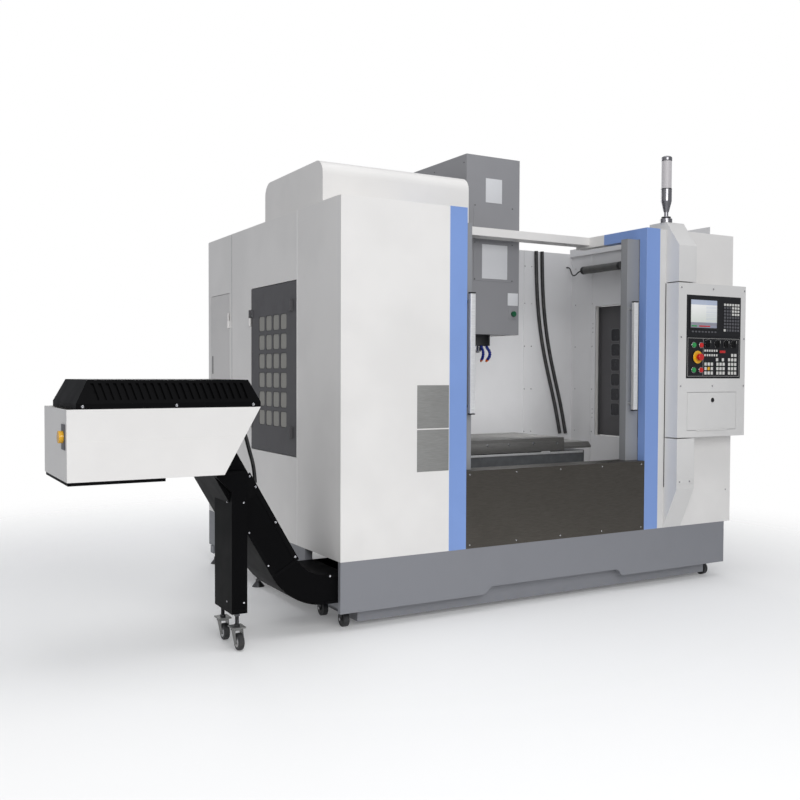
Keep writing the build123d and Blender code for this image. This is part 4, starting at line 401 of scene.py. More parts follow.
FINISHES = {
    "white": painted("white_enclosure", WHITE, 0.38, low_darkening=0.25),
    "inner": painted("inner_lining", (0.62, 0.62, 0.63), 0.42),
    "blue": painted("blue_strips", BLUE, 0.36, low_darkening=0.15),
    "rail": two_tone("blue_and_white_rail", BLUE, WHITE, 350.0),
    "skirt": painted("grey_skirt", SKIRT_GREY, 0.46, 500.0, low_darkening=0.3),
    "tank": tank_paint("grey_tank", SKIRT_GREY, (0.055, 0.055, 0.057)),
    "leg": leg_paint("black_leg", CONVEYOR_BLACK, (0.22, 0.22, 0.215)),
    "service": painted("dark_grey_doors", (0.082, 0.08, 0.084), 0.5, 420.0),
    "access": painted("side_access_door", (0.66, 0.645, 0.63), 0.42),
    "cover": painted("grey_head_cover", (0.272, 0.272, 0.284), 0.42, 600.0),
    "door": painted("grey_door_frames", (0.27, 0.275, 0.285), 0.36),
    "black": painted("black_conveyor", CONVEYOR_BLACK, 0.5, 380.0, specular=0.05),
    "apron": brushed("dark_brushed_apron", (0.118, 0.108, 0.094), 0.34, stains=0.35),
    # Greyer than the enclosure's white: painted shade for the light falling off towards the right,
    # on the pendant, its post and the storage door
    "pendant": painted("pendant_grey_painted_shade", (0.69, 0.682, 0.668), 0.38),
    "table": brushed("table_steel", (0.25, 0.245, 0.235), 0.38, metallic=0.55, stains=0.3),
    "tray": brushed("tray_sheet", (0.30, 0.29, 0.28), 0.4, stains=0.5),
    "bright_sheet": brushed("bright_sheet", (0.80, 0.80, 0.80), 0.34, metallic=0.5, stains=0.04),
    "casting": cast("grey_casting", (0.10, 0.105, 0.11)),
    "dark_casting": cast("dark_casting", (0.022, 0.022, 0.024)),
    "pale_casting": cast("pale_casting", (0.30, 0.31, 0.31), 0.5, lumpy=0.35, motor=2.2504),
    "steel": machined("ground_steel", (0.50, 0.50, 0.51)),
    "dark_steel": machined("dark_steel", (0.12, 0.12, 0.125), 0.34),
    "chrome": polished("polished_chrome", (0.60, 0.60, 0.62), 0.12),
    "dark_chrome": polished("dark_chrome", (0.30, 0.295, 0.31), 0.2),
    "black_plastic": moulded("black_plastic", (0.012, 0.012, 0.013)),
    "panel": moulded("membrane_panel", (0.010, 0.010, 0.012), 0.36, 900.0),
    "key_white": moulded("white_keys", (0.66, 0.65, 0.62), 0.4),
    "key_grey": moulded("grey_keys", (0.10, 0.10, 0.11), 0.4),
    "key_yellow": moulded("yellow_key", (0.75, 0.42, 0.03), 0.36),
    "red": moulded("red_plastic", (0.55, 0.012, 0.01), 0.24, 300.0, coat=0.5),
    "green": moulded("green_plastic", (0.02, 0.30, 0.07), 0.24, 300.0, coat=0.5),
    "yellow": moulded("yellow_plastic", (0.80, 0.42, 0.015), 0.3, 300.0, coat=0.4),
    "orange": moulded("orange_plastic", (0.75, 0.13, 0.01), 0.3, 300.0, coat=0.3),
    "nozzle_blue": moulded("blue_nozzles", (0.008, 0.026, 0.26), 0.34, 300.0, coat=0.2),
    "oil_green": moulded("oil_cap_green", (0.012, 0.10, 0.045), 0.34, 300.0),
    "rubber": rubbery("black_rubber", (0.015, 0.015, 0.016)),
    "hose": rubbery("black_hose", (0.016, 0.016, 0.017), 0.42),
    "glass": glassy("door_glass", (0.42, 0.46, 0.49)),
    "lamp": frosted("lamp_tube", (0.075, 0.075, 0.072), 0.36),
    "lens": frosted("tower_lens", (0.60, 0.575, 0.585), 0.42),
    "screen": screen_glass("display"),
    "pane": mesh_pane("window_panes", (0.36, 0.35, 0.32)),
    "dark_pane": moulded("dark_window_backs", (0.028, 0.028, 0.032), 0.22, 300.0),
    "service_light": painted("window_frames", (0.12, 0.12, 0.125), 0.45, 420.0),
    "plate": brushed("blank_steel_plate", (0.27, 0.27, 0.26), 0.6, metallic=0.35, stains=0.15),
    "duct_black": moulded("bolt_on_black", (0.0026, 0.0026, 0.003), 0.48, 380.0, specular=0.06),
    # Painted highlight for the folded seams of the side panel
    "edge_white": painted("fold_edge_painted_highlight", (0.86, 0.85, 0.84), 0.35),
    "label": moulded("blank_plates", (0.66, 0.665, 0.68), 0.4, marks=0.04),
}

# The nodes of the part that each finish goes on
NODES = {
    "casting": "base_casting tool_changer_housing saddle",
    "pale_casting": "column",
    "dark_steel": "levelling_feet",
    "skirt": "lower_frame",
    "tank": "coolant_tank",
    "white": "left_front_panel left_side_panel right_cabinet overhead_beam magazine_cover "
             "conveyor_head_box electrical_cabinet",
    "blue": "left_blue_strip",
    "rail": "right_blue_strip",
    "apron": "apron_plate",
    "inner": "inner_walls",
    "tray": "chip_tray",
    "pendant": "control_post pendant_box storage_door",
    "panel": "display_unit operator_panel",
    "dark_chrome": "signal_tower",
    "lamp": "work_lamp",
    "hose": "hoses_and_leads",
    "black": "conveyor_duct conveyor_vent_cover",
    "leg": "conveyor_leg",
    "steel": "x_ball_screw y_ball_screw z_ball_screw tool_magazine change_arm",
    "table": "table",
    "dark_casting": "head_casting",
    "cover": "head_cover",
    "chrome": "spindle",
    "black_plastic": "spindle_motor mode_knob feed_knob rapid_knob spindle_knob",
    "nozzle_blue": "coolant_nozzles",
    "door": "left_door right_door",
    "glass": "left_door_window right_door_window",
    "service": "left_service_door right_service_door",
    "access": "rear_access_door",
    "red": "emergency_stop feed_hold_button power_off_button",
    "green": "cycle_start_button power_on_button",
    "yellow": "conveyor_switch",
    "rubber": "front_caster_wheel rear_caster_wheel",
}

# The slot of a piece with each finish, unless it names its own
SLOTS = {finish: slot for slot, finishes in {
    "ground_steel": "steel chrome dark_steel bright_sheet table",
    "bright_steel": "dark_chrome",
    "black_plastic": "black_plastic key_grey",
    "panel_plastic": "key_white key_yellow screen yellow",
    "green_plastic": "green oil_green",
    "red_plastic": "red", "rubber": "rubber", "hose": "hose", "amber_plastic": "lens",
    "nozzle_plastic": "nozzle_blue orange",
    "white_paint": "white inner pendant edge_white plate",
    "dark_grey": "pane dark_pane service_light",
    "cover_grey": "label cover",
    "conveyor_black": "black duct_black",
}.items() for finish in finishes.split()}


def dress_nodes():
    """Give each node of the part its finish."""
    for finish, names in NODES.items():
        for name in names.split():
            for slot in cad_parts[name].material_slots:
                slot.material = FINISHES[finish]


# Pieces
FRONT, BACK = (0, -1, 0), (0, 1, 0)
LEFT, RIGHT = (-1, 0, 0), (1, 0, 0)
UP, DOWN = (0, 0, 1), (0, 0, -1)
SMOOTH_ANGLE = 32.0


def add_object(name, data):
    made = bpy.data.objects.new(name, data)
    bpy.context.scene.collection.objects.link(made)
    return made


class Piece:
    """One mesh of the scene, drawn in the machine's millimetres and given to a body."""

    def __init__(self, name, finish, body="frame", slot=None):
        self.name = name
        self.finish = finish
        self.body = body
        self.slot = slot or SLOTS[finish]
        self.form = bmesh.new()

    def box(self, x0, x1, y0, y1, z0, z1, edge=0.0):
        size = Matrix.Diagonal((x1 - x0, y1 - y0, z1 - z0, 1))
        middle = Matrix.Translation(((x0 + x1) / 2, (y0 + y1) / 2, (z0 + z1) / 2))
        made = bmesh.ops.create_cube(self.form, size=1, matrix=middle @ size)["verts"]
        if edge:
            edges = {e for v in made for e in v.link_edges}
            bmesh.ops.bevel(self.form, geom=list(edges), offset=edge, segments=2, profile=0.6,
                            affect="EDGES")
        return self

    def rod(self, start, end, radius, sides=20):
        start, end = Vector(start), Vector(end)
        run = end - start
        turn = run.to_track_quat("Z", "Y").to_matrix().to_4x4()
        bmesh.ops.create_cone(self.form, cap_ends=True, segments=sides, radius1=radius,
                              radius2=radius, depth=run.length,
                              matrix=Matrix.Translation((start + end) / 2) @ turn)
        return self

    def loft(self, outlines, ring=False):
        """A skin over outlines of equally many points, with flat ends or closed on itself."""
        rows = [[self.form.verts.new(point) for point in outline] for outline in outlines]
        for low, high in zip(rows, rows[1:] + rows[:ring]):
            for n in range(len(low)):
                m = (n + 1) % len(low)
                self.form.faces.new((low[n], low[m], high[m], high[n]))
        if not ring:
            self.form.faces.new(list(reversed(rows[0])))
            self.form.faces.new(rows[-1])
        return self

    def turned(self, origin, axis, profile, sides=32):
        """A turned form: profile is a list of (distance along the axis, radius)."""
        turn = Vector(axis).to_track_quat("Z", "Y").to_matrix().to_4x4()
        place = Matrix.Translation(origin) @ turn
        angles = [2 * pi * n / sides for n in range(sides)]
        return self.loft([[place @ Vector((radius * cos(a), radius * sin(a), along))
                           for a in angles] for along, radius in profile])

    def tube(self, route, radius, ribs=0.0, sides=20):
        """A tube along a route, round its bends without twist, ribbed when a pitch is given."""
        lengths = [0.0]
        for a, b in zip(route, route[1:]):
            lengths.append(lengths[-1] + (b - a).length)
        total = lengths[-1]
        count = int(total / (ribs / 4 if ribs else radius * 0.8)) + 1
        side, here, rings = None, 0, []
        for n in range(count + 1):
            along = total * n / count
            while here < len(lengths) - 2 and lengths[here + 1] < along:
                here += 1
            span = max(lengths[here + 1] - lengths[here], 1e-6)
            centre = route[here].lerp(route[here + 1], (along - lengths[here]) / span)
            run = (route[min(here + 2, len(route) - 1)] - route[max(here - 1, 0)]).normalized()
            if side is None:
                side = run.orthogonal().normalized()
            side = (side - run * side.dot(run)).normalized()
            up = run.cross(side)
            swell = (0.0, 0.0, -0.9, -0.9)[n % 4] if ribs else 0.0
            ring = []
            for k in range(sides):
                turn = 2 * pi * k / sides
                spoke = side * cos(turn) + up * sin(turn)
                ring.append(centre + spoke * (radius + swell))
            rings.append(ring)
        return self.loft(rings)

    def frame_x(self, x, depth, y, z, half, radius, band):
        """A rounded square ring lying in a YZ plane, from x to x + depth."""
        outer = rounded_square(half + band, radius + band)
        inner = rounded_square(half, radius)
        rows = ((outer, 0), (outer, depth), (inner, depth), (inner, 0))
        return self.loft([[(x + shift, y + u, z + v) for u, v in outline]
                          for outline, shift in rows], ring=True)

    def plate_x(self, x, depth, y, z, half, radius):
        """A rounded square plate lying in a YZ plane, from x to x + depth."""
        outline = rounded_square(half, radius)
        return self.loft([[(x + shift, y + u, z + v) for u, v in outline]
                          for shift in (0, depth)])

    def screw(self, place, axis, radius, cap=1.6):
        """A pan-head screw with a hexagon socket."""
        profile = [(0, radius), (cap * 0.6, radius), (cap, radius * 0.78), (cap, radius * 0.42),
                   (cap * 0.35, radius * 0.4)]
        return self.turned(place, Vector(axis).normalized(), profile, 14)

    def done(self, smooth=SMOOTH_ANGLE):
        bmesh.ops.recalc_face_normals(self.form, faces=self.form.faces)
        for v in self.form.verts:
            v.co = v.co * MM + HOME
        mesh = bpy.data.meshes.new(self.name)
        self.form.to_mesh(mesh)
        self.form.free()
        mesh.polygons.foreach_set("use_smooth", [True] * len(mesh.polygons))
        mesh.set_sharp_from_angle(angle=radians(smooth))
        mesh.materials.append(FINISHES[self.finish])
        made = add_object(self.name, mesh)
        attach(made, self.body)
        return made


def boxes(name, finish, edge, *limits, body="frame", slot=None):
    """A piece of boxes, each given by its six limits, with edges softened by one radius."""
    piece = Piece(name, finish, body, slot)
    for limit in limits:
        piece.box(*limit, edge)
    return piece.done()


def spun(name, finish, origin, axis, profile, sides=32, smooth=SMOOTH_ANGLE, body="frame",
         slot=None):
    """A piece of one turned form."""
    return Piece(name, finish, body, slot).turned(origin, axis, profile, sides).done(smooth)


def rounded_square(half, radius, steps=5):
    points = []
    for corner in range(4):
        a0 = corner * pi / 2
        cx = (half - radius) * (1 if corner in (0, 3) else -1)
        cy = (half - radius) * (1 if corner in (0, 1) else -1)
        for n in range(steps + 1):
            a = a0 + n * pi / 2 / steps
            points.append((cx + radius * cos(a), cy + radius * sin(a)))
    return points


def service_doors():
    """Window seals and panes on both faces of the service doors, and their latches."""
    half = WINDOW_SIZE / 2
    pane_back = 9.2
    latch_y = 572
    for side, face, into in (("left", 0.0, 1), ("right", WIDTH, -1)):
        body = f"{side}_service"
        seals = Piece(f"{side}_window_seals", "rubber", body)
        panes = Piece(f"{side}_window_panes", "pane", body)
        inner = Piece(f"{side}_window_backs", "dark_pane", body)
        frames = Piece(f"{side}_window_frames", "service_light", body)
        for row in range(6):
            for col in range(4):
                y = WINDOW_FRONT_Y + col * WINDOW_PITCH
                z = WINDOW_LOWEST_Z + row * WINDOW_PITCH
                back = face + into * pane_back
                r = WINDOW_RADIUS
                seals.frame_x(face + into * 0.4, into * 2.4, y, z, half - 2.2, r - 2, 2.0)
                panes.plate_x(face + into * 2.1, into * 0.7, y, z, half - 0.3, r - 0.3)
                inner.plate_x(back, into * 0.8, y, z, half - 1, r)
                frames.frame_x(back, into * 2.0, y, z, half - 1, r, 4.0)
        for piece in (seals, panes, inner, frames):
            piece.done()
        latches = Piece(f"{side}_latch_levers", "black_plastic", body)
        for z in (1554.0, 899.0):
            latches.rod((face - into * 14.5, latch_y, z), (face - into * 15.9, latch_y, z), 12)
        latches.done()


def hinge_screws():
    service = ("left_service", "dark_grey", 1147.0, -1, (897.5, 1515.5))
    access = ("rear_access", "white_paint", 1510.0, 1, (720.5, 1518.5))
    for body, slot, edge_y, plate, heights in (service, access):
        screws = Piece(f"{body}_hinge_screws", "steel", body, slot)
        for z in heights:
            for dz in (12, 33):
                screws.screw((-4, edge_y + plate * 22, z + dz), LEFT, 4.2)
        screws.done()


def pendant_details():
    front = PANEL_FRONT_Y
    screws = Piece("pendant_screws", "steel")
    left, middle, right = 2070, 2323.5, 2583
    for z, columns in ((1695, (left, middle, right)), (1416, (left, right)),
                       (1141, (left, middle, right))):
        for x in columns:
            screws.screw((x, front - 2.4, z), FRONT, 5.2, 1.8)
    screws.done()
    display(front)
    keyboard(front)
    operator_keys(front)
    selectors(front)


def display(front):
    """Screen with two plain fields, its bezel and the soft keys under it."""
    x0, x1, z0, z1 = SCREEN_LEFT, SCREEN_RIGHT, SCREEN_BOTTOM, SCREEN_TOP
    boxes("display_glass", "screen", 0.3,
          (x0, x1, front - 0.4, front + 0.9, z0, z1))
    for color, a, b in (("green", 2152, 2196), ("red", 2214, 2302)):
        boxes(f"display_field_{color}", color, 0.0,
              (a, b, front - 0.7, front - 0.3, 1478, 1485))
    y0, y1 = front - 2.6, front - 0.2
    gap, band = 1, 11
    boxes("display_bezel", "black_plastic", 0.8,
          (x0 - band, x1 + band, y0, y1, z0 - band, z0 - gap),
          (x0 - band, x1 + band, y0, y1, z1 + gap, z1 + band),
          (x0 - band, x0 - gap, y0, y1, z0 - gap, z1 + gap),
          (x1 + gap, x1 + band, y0, y1, z0 - gap, z1 + gap))
    starts = [x0 + 8 + n * 26 for n in range(8)]
    boxes("soft_keys", "key_grey", 0.8,
          *((x, x + 15, y0, y1, z0 - 27, z0 - 18) for x in starts))


def keyboard(front):
    """Caps of the data-entry keyboard, most of them dark with a few pale ones."""
    dark = Piece("entry_keys_dark", "key_grey")
    pale = Piece("entry_keys_pale", "key_white")
    for row in range(9):
        z = 1610.0 - row * 18.5
        for col in range(6):
            x = 2412.0 + col * 22.5
            light = row == 0 or (row in (1, 2, 3) and col > 2) or (row == 8 and col == 0)
            keys = pale if light else dark
            keys.box(x - 0.4, x + 15.4, front - 4.0, front - 1.6, z - 6.4, z + 6.4, 1.1)
    dark.done()
    pale.done()


def operator_keys(front):
    """Caps on the machine panel's keys, with their lamps, in the photograph's layout."""
    white = Piece("function_keys", "key_white")
    yellow = Piece("marked_key", "key_yellow")
    lamps = Piece("key_lamps", "green")

    def cap(keys, x, z):
        keys.box(x - 0.4, x + 17.4, front - 4.6, front - 2.2, z - 8.9, z + 8.9, 1.3)

    for row in range(3):
        z = 1266 - row * KEY_PITCH
        for group in range(3):
            for col in range(3):
                x = 2257 + group * 97 + col * KEY_PITCH
                cap(yellow if (row, group, col) == (1, 0, 1) else white, x, z)
                lamps.rod((x + 8.5, front, z + 12.2), (x + 8.5, front - 0.8, z + 12.2), 1.3, 8)
    for z, columns in ((1292, (2350, 2398, 2450, 2476, 2502)), (1318, (2476, 2502))):
        for x in columns:
            cap(white, x, z)
    for row in range(2):
        z = 1343 - row * 26
        for col in range(6):
            x = 2255 + col * 19
            white.box(x - 0.4, x + 11.4, front - 4.2, front - 2.2, z - 5.9, z + 5.9, 1.0)
    for piece in (white, yellow, lamps):
        piece.done()
    # Red number display and its bezel
    boxes("counter_bezel", "black_plastic", 1.0,
          (2374, 2432, front - 3.0, front - 0.1, 1327, 1349))
    boxes("counter_window", "red", 0.4,
          (2380, 2426, front - 3.8, front - 2.8, 1331, 1345))
    # Thin frame line round the panel and between its two fields
    x0, x1, z0, z1, line = 2125.0, 2545.0, 1196.0, 1412.0, 1.2
    divider = 2247
    limits = ((x0, x1, z0, z0 + line), (x0, x1, z1, z1 + line), (x0, x0 + line, z0, z1),
              (x1, x1 + line, z0, z1), (divider, divider + line, z0, z1))
    boxes("panel_frame_line", "key_white", 0.0,
          *((a, b, front - 0.5, front - 0.05, c, d) for a, b, c, d in limits))


def selectors(front):
    """Dial rings with ticks, pointer lines, the stop button's ring and the buttons' bezels."""
    ticks = Piece("dial_ticks", "key_white")
    dial_z, reach = 1382, 24.5
    for body, x in (("mode_body", 2286), ("feed_body", 2365), ("rapid_body", 2437),
                    ("spindle_knob_body", 2500)):
        for n in range(13):
            a = radians(-135 + n * 22.5)
            u, v = x + reach * sin(a), dial_z + reach * cos(a)
            ticks.rod((u, front, v), (u, front - 0.6, v), 1.1, 8)
        boxes(f"{body}_pointer", "key_white", 0.2,
              (x - 0.9, x + 0.9, front - 20.4, front - 19.8, 1386, 1401), body=body,
              slot="black_plastic")
    ticks.done()
    spun("stop_ring", "yellow", (2200, front - 4.8, 1305), FRONT,
         [(0, 36), (1.2, 36.2), (2.6, 34.5), (2.6, 21.5), (0.4, 21.0)], 48)
    left, right, high, low = 2170, 2228, 1373, 1232
    bezels = Piece("button_bezels", "chrome")
    for x in (left, right):
        for z in (high, low):
            bezels.turned((x, front - 2.8, z), FRONT,
                          [(0, 17), (1.4, 17), (2.2, 16.2), (2.2, 14.7), (0.2, 14.6)])
    bezels.done()
    for body, finish, x, z in (
            ("cycle_start", "green", left, high), ("feed_hold", "red", right, high),
            ("power_on", "green", left, low), ("power_off", "red", right, low)):
        spun(f"{body}_lens", finish, (x, front - 8.8, z), FRONT,
             [(0, 13.8), (1.0, 13.6), (2.0, 12.0), (2.4, 9.0)], 28, body=body)
    spun("storage_lock", "black_plastic", (2325.5, front - 3.8, 1060), FRONT,
         [(0, 13.4), (1.4, 13.0), (2.0, 11.5), (2.0, 4.0), (0.6, 3.6)], body="storage")


def head_details():
    front = COVER_FRONT_Y
    screws = Piece("cover_screws", "dark_steel", "head")
    for x in (1158, 1424):
        for z in (1753, 1964, 1986, 2177):
            screws.screw((x, front - 1.9, z), FRONT, 4.0)
    for y in (640, 960, 1280):
        for z in (1480, 1900, 2420):
            screws.screw((1100.2, y, z), LEFT, 4.0)
            screws.screw((1476.8, y, z), RIGHT, 4.0)
    screws.done()
    boxes("blank_plates", "label", 0.3,
          (1234, 1349, front - 0.8, front + 0.2, 2200, 2339),
          (1209, 1389, front - 2.9, front - 1.9, 1759, 1957),
          (1396, 1470, front - 0.8, front + 0.2, 1609, 1682), body="head")
    spun("oil_cap", "oil_green", (1435, front - 13.8, 1560), FRONT,
         [(-12, 16), (0, 16), (2, 14), (2, 6), (0.5, 5.5)], 28, body="head")
    boxes("cap_plate", "cover", 0.5,
          (1404, 1466, front - 2.0, front - 0.1, 1528, 1592), body="head")
    nose = Piece("spindle_nose_rings", "dark_steel", "spindle_body", "bright_steel")
    for rise in (6, 18):
        nose.turned((SPINDLE_X, SPINDLE_Y, NOSE_Z + rise), UP,
                    [(0, 60.4), (2, 60.9), (4, 60.4)], 48)
    nose.done()
    bolts = Piece("nose_housing_bolts", "steel", "head")
    bolt_circle = 82
    for n in range(8):
        a = radians(22.5 + n * 45)
        x, y = SPINDLE_X + bolt_circle * cos(a), SPINDLE_Y + bolt_circle * sin(a)
        bolts.screw((x, y, NOSE_Z + NOSE_HEIGHT), DOWN, 5.5, 4.0)
    bolts.done()


def coolant_hoses():
    """Segmented nozzle hoses: a string of ball-and-socket links along each bent line."""
    root_z = NOSE_Z + NOSE_HEIGHT
    links = Piece("nozzle_links", "nozzle_blue", "head")
    tips = Piece("nozzle_tips", "orange", "head")
    for turn in (200, 235, 270, 305, 340):
        a = radians(turn)
        out = Vector((cos(a), sin(a), 0))
        path = [Vector((SPINDLE_X, SPINDLE_Y, root_z - drop)) + out * radius
                for radius, drop in ((84, 0), (86, 12), (101, 28), (106, 52), (99, 72), (90, 84))]
        stops = smooth_points(path, 9)
        for here, there in zip(stops, stops[1:]):
            axis = there - here
            step = axis.length
            links.turned(here, axis, [(0, 6.6), (step * 0.2, 8.8), (step * 0.55, 9.2),
                                      (step * 0.8, 8.0), (step * 0.98, 6.4)], 16)
        axis = stops[-1] - stops[-2]
        tips.turned(stops[-1], axis, [(0, 8.0), (4, 8.4), (14, 5.0), (15, 4.4)], 16)
    made = links.done()
    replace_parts(made, "coolant_nozzles")
    tips.done()


def smooth_points(points, count):
    """Evenly spread points on a smooth curve through the given ones."""
    fine = []
    ends = [points[0] * 2 - points[1]] + list(points) + [points[-1] * 2 - points[-2]]
    for a, b, c, d in zip(ends, ends[1:], ends[2:], ends[3:]):
        for n in range(12):
            t = n / 12
            fine.append(0.5 * ((2 * b) + (c - a) * t + (2 * a - 5 * b + 4 * c - d) * t ** 2
                               + (3 * b - a - 3 * c + d) * t ** 3))
    fine.append(points[-1])
    return [fine[round(n * (len(fine) - 1) / count)] for n in range(count + 1)]


def table_details():
    bolts = Piece("table_front_bolts", "chrome", "table_body")
    for x in (1222, 1375, 1556, 1735):
        bolts.turned((x, 563, 790), FRONT, [(0, 9), (2.2, 9), (3, 7.6), (3, 4.2), (1, 4)], 20)
    bolts.done()
    table_half, saddle_half = 500, 648
    boxes("table_front_cover", "table", 0.6,
          (SPINDLE_X - table_half, SPINDLE_X + table_half, 560.2, 562.9, 748, 800),
          body="table_body")
    boxes("saddle_front_strip", "bright_sheet", 0.5,
          (SPINDLE_X - saddle_half, SPINDLE_X + saddle_half, 559.5, 562.8, 724, 737),
          body="saddle_body")


def conveyor_edge(z):
    """X of the conveyor box's slanted right side at a height."""
    rise = CONVEYOR_TOP - CONVEYOR_BOTTOM
    return CONVEYOR_RIGHT - CONVEYOR_TAPER * (CONVEYOR_TOP - z) / rise


def hoses():
    """Corrugated wash hoses and the lamp's and conveyor motor's leads, on the solids' routes."""
    routes = []
    wall = BACK_WALL_Y
    for shift in (0, 52):
        x, y = 2212 + shift, wall - 13.3
        steps = ((0, 2070), (4, 1900), (14, 1730), (34, 1560), (66, 1390), (108, 1230), (152, 1080),
                 (194, 930), (226, 780))
        routes.append((13.0, [(x + dx, y, z) for dx, z in steps]))
    x, z = LAMP_X, LAMP_Z
    routes.append((5.0, [(x, 1226, z), (x, 1266, z), (x, 1311, z - 30), (x, 1346, z - 20),
                         (x, wall - 35, z + 38), (x, wall, z + 38)]))
    slant = atan2(CONVEYOR_TAPER, CONVEYOR_TOP - CONVEYOR_BOTTOM)
    x, y, z = conveyor_edge(1010), 200, 1010
    routes.append((9.0, [(x, y, z), (x + 45 * cos(slant), y, z - 45 * sin(slant)),
                         (x + 78, y, 930), (x + 98, y, 850), (x + 122, y, 770), (x + 126, y, 700)]))
    for n, (radius, points) in enumerate(routes):
        name = f"hose_{n + 1}"
        curve = bpy.data.curves.new(name, "CURVE")
        curve.dimensions = "3D"
        curve.resolution_u = 24
        spline = curve.splines.new("NURBS")
        spline.points.add(len(points) - 1)
        for point, place in zip(spline.points, points):
            point.co = (*at(*place), 1.0)
        spline.order_u = 3
        spline.use_endpoint_u = True
        carrier = bpy.data.objects.new(f"{name}_route", curve)
        line = bpy.data.meshes.new_from_object(carrier)
        route = [(v.co - HOME) / MM for v in line.vertices]
        bpy.data.objects.remove(carrier)
        bpy.data.meshes.remove(line)
        piece = Piece(name, "hose").tube(route, radius, ribs=4.6 if radius > 10 else 0.0)
        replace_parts(piece.done(50.0), "hoses_and_leads")


def wall_details():
    """Screws and joint covers on the inner walls."""
    screws = Piece("inner_wall_screws", "steel")
    y = BACK_WALL_Y
    for z in (800, 1100, 1400, 1700, 1960):
        for x in (1640, 2120, 2180):
            base = y - 6 if 2114 < x < 2186 else y
            screws.screw((x, base, z), FRONT, 4.5, 2.0)
        for cy in (700, 1180, 1360):
            # Not over the service door's opening
            if not (508 < cy < 1147 and 777 < z < 1680):
                screws.screw((RIGHT_WALL_X, cy, z), LEFT, 4.5, 2.0)
    for z in (900, 930, 960, 1500, 1530, 1560):
        screws.screw((RIGHT_WALL_X, 1172, z), LEFT, 4.0, 1.6)
    screws.done()
    boxes("inner_seam_covers", "inner", 0.5,
          (1602, 1622, y - 2.2, y - 0.1, 563, 2060),
          (RIGHT_WALL_X - 2.2, RIGHT_WALL_X - 0.1, 1186, 1206, 563, 2095))


def lamp_details():
    ends = Piece("lamp_end_caps", "black_plastic")
    for y0, y1 in ((835.5, 862), (1199, 1225.5)):
        ends.turned((LAMP_X, y0, LAMP_Z), BACK,
                    [(0, 26), (2, 27.6), (y1 - y0 - 2, 27.6), (y1 - y0, 26)])
    ends.done()


def tower_details():
    """The signal tower's lens, its plated cap and its two dark rings."""
    x, y = 2078, 30
    spun("tower_lens_rings", "lens", (x, y, 2264), UP,
         [(0, 27.4), (1, 28.2), (155, 28.2), (156, 27.4)], 48)
    spun("tower_cap", "dark_chrome", (x, y, 2420.5), UP,
         [(0, 29.2), (1.5, 29.9), (17, 29.9), (20, 29.2), (24, 24), (27.5, 15), (28.5, 5)], 48,
         60.0)
    for z, radius in ((2258, 30.6), (2098, 27.0)):
        spun(f"tower_ring_{z}", "dark_steel", (x, y, z), UP,
             [(0, radius - 1), (1, radius), (5, radius), (6, radius - 1)], 48, slot="bright_steel")


def conveyor_details():
    front = CONVEYOR_FRONT_Y
    screws = Piece("conveyor_screws", "chrome")
    for x in (-1170, -800, -470):
        for y, axis in ((front, FRONT), (CONVEYOR_BACK_Y, BACK)):
            screws.screw((x, y, CONVEYOR_TOP + 11), axis, 6.0, 3.0)
    screws.done()
    # The lower sheet laps over the upper one, and thins towards its fold
    fold = CONVEYOR_BOTTOM + 158
    outline = ((CONVEYOR_LEFT, CONVEYOR_BOTTOM), (CONVEYOR_RIGHT - CONVEYOR_TAPER, CONVEYOR_BOTTOM),
               (conveyor_edge(fold), fold), (CONVEYOR_LEFT, fold))
    lap = Piece("conveyor_lap_plate", "white")
    lap.loft([[(x, front + 0.2, z) for x, z in outline],
              [(x, front - (1.6 if z < fold else 0.9), z) for x, z in outline]]).done()
    boxes("conveyor_bottom_tray", "black", 1.0,
          (CONVEYOR_LEFT + 4, -845, front + 4, CONVEYOR_BACK_Y - 4, CONVEYOR_BOTTOM - 14,
           CONVEYOR_BOTTOM - 0.3))
    screen = Piece("vent_screen", "duct_black")
    low, high, middle = CONVEYOR_TOP + 24, 1168.0, (front + CONVEYOR_BACK_Y) / 2
    for side in (-1, 1):
        y0, y1 = middle + side * 238, middle + side * 216
        corners = ((-1170, y0, low), (-462, y0, low), (-500, y1, high), (-1135, y1, high))
        screen.form.faces.new([screen.form.verts.new(c) for c in corners])
    screen.done()
    duct_plates()
    # Rotary switch plate on the left end
    x = CONVEYOR_LEFT
    boxes("switch_plate", "key_grey", 1.2, (x - 4, x - 0.2, -92, -24, 905, 1005))
    boxes("switch_handle", "yellow", 2.0, (x - 21.8, x - 14, -64, -52, 931, 979),
          body="switch_body", slot="red_plastic")


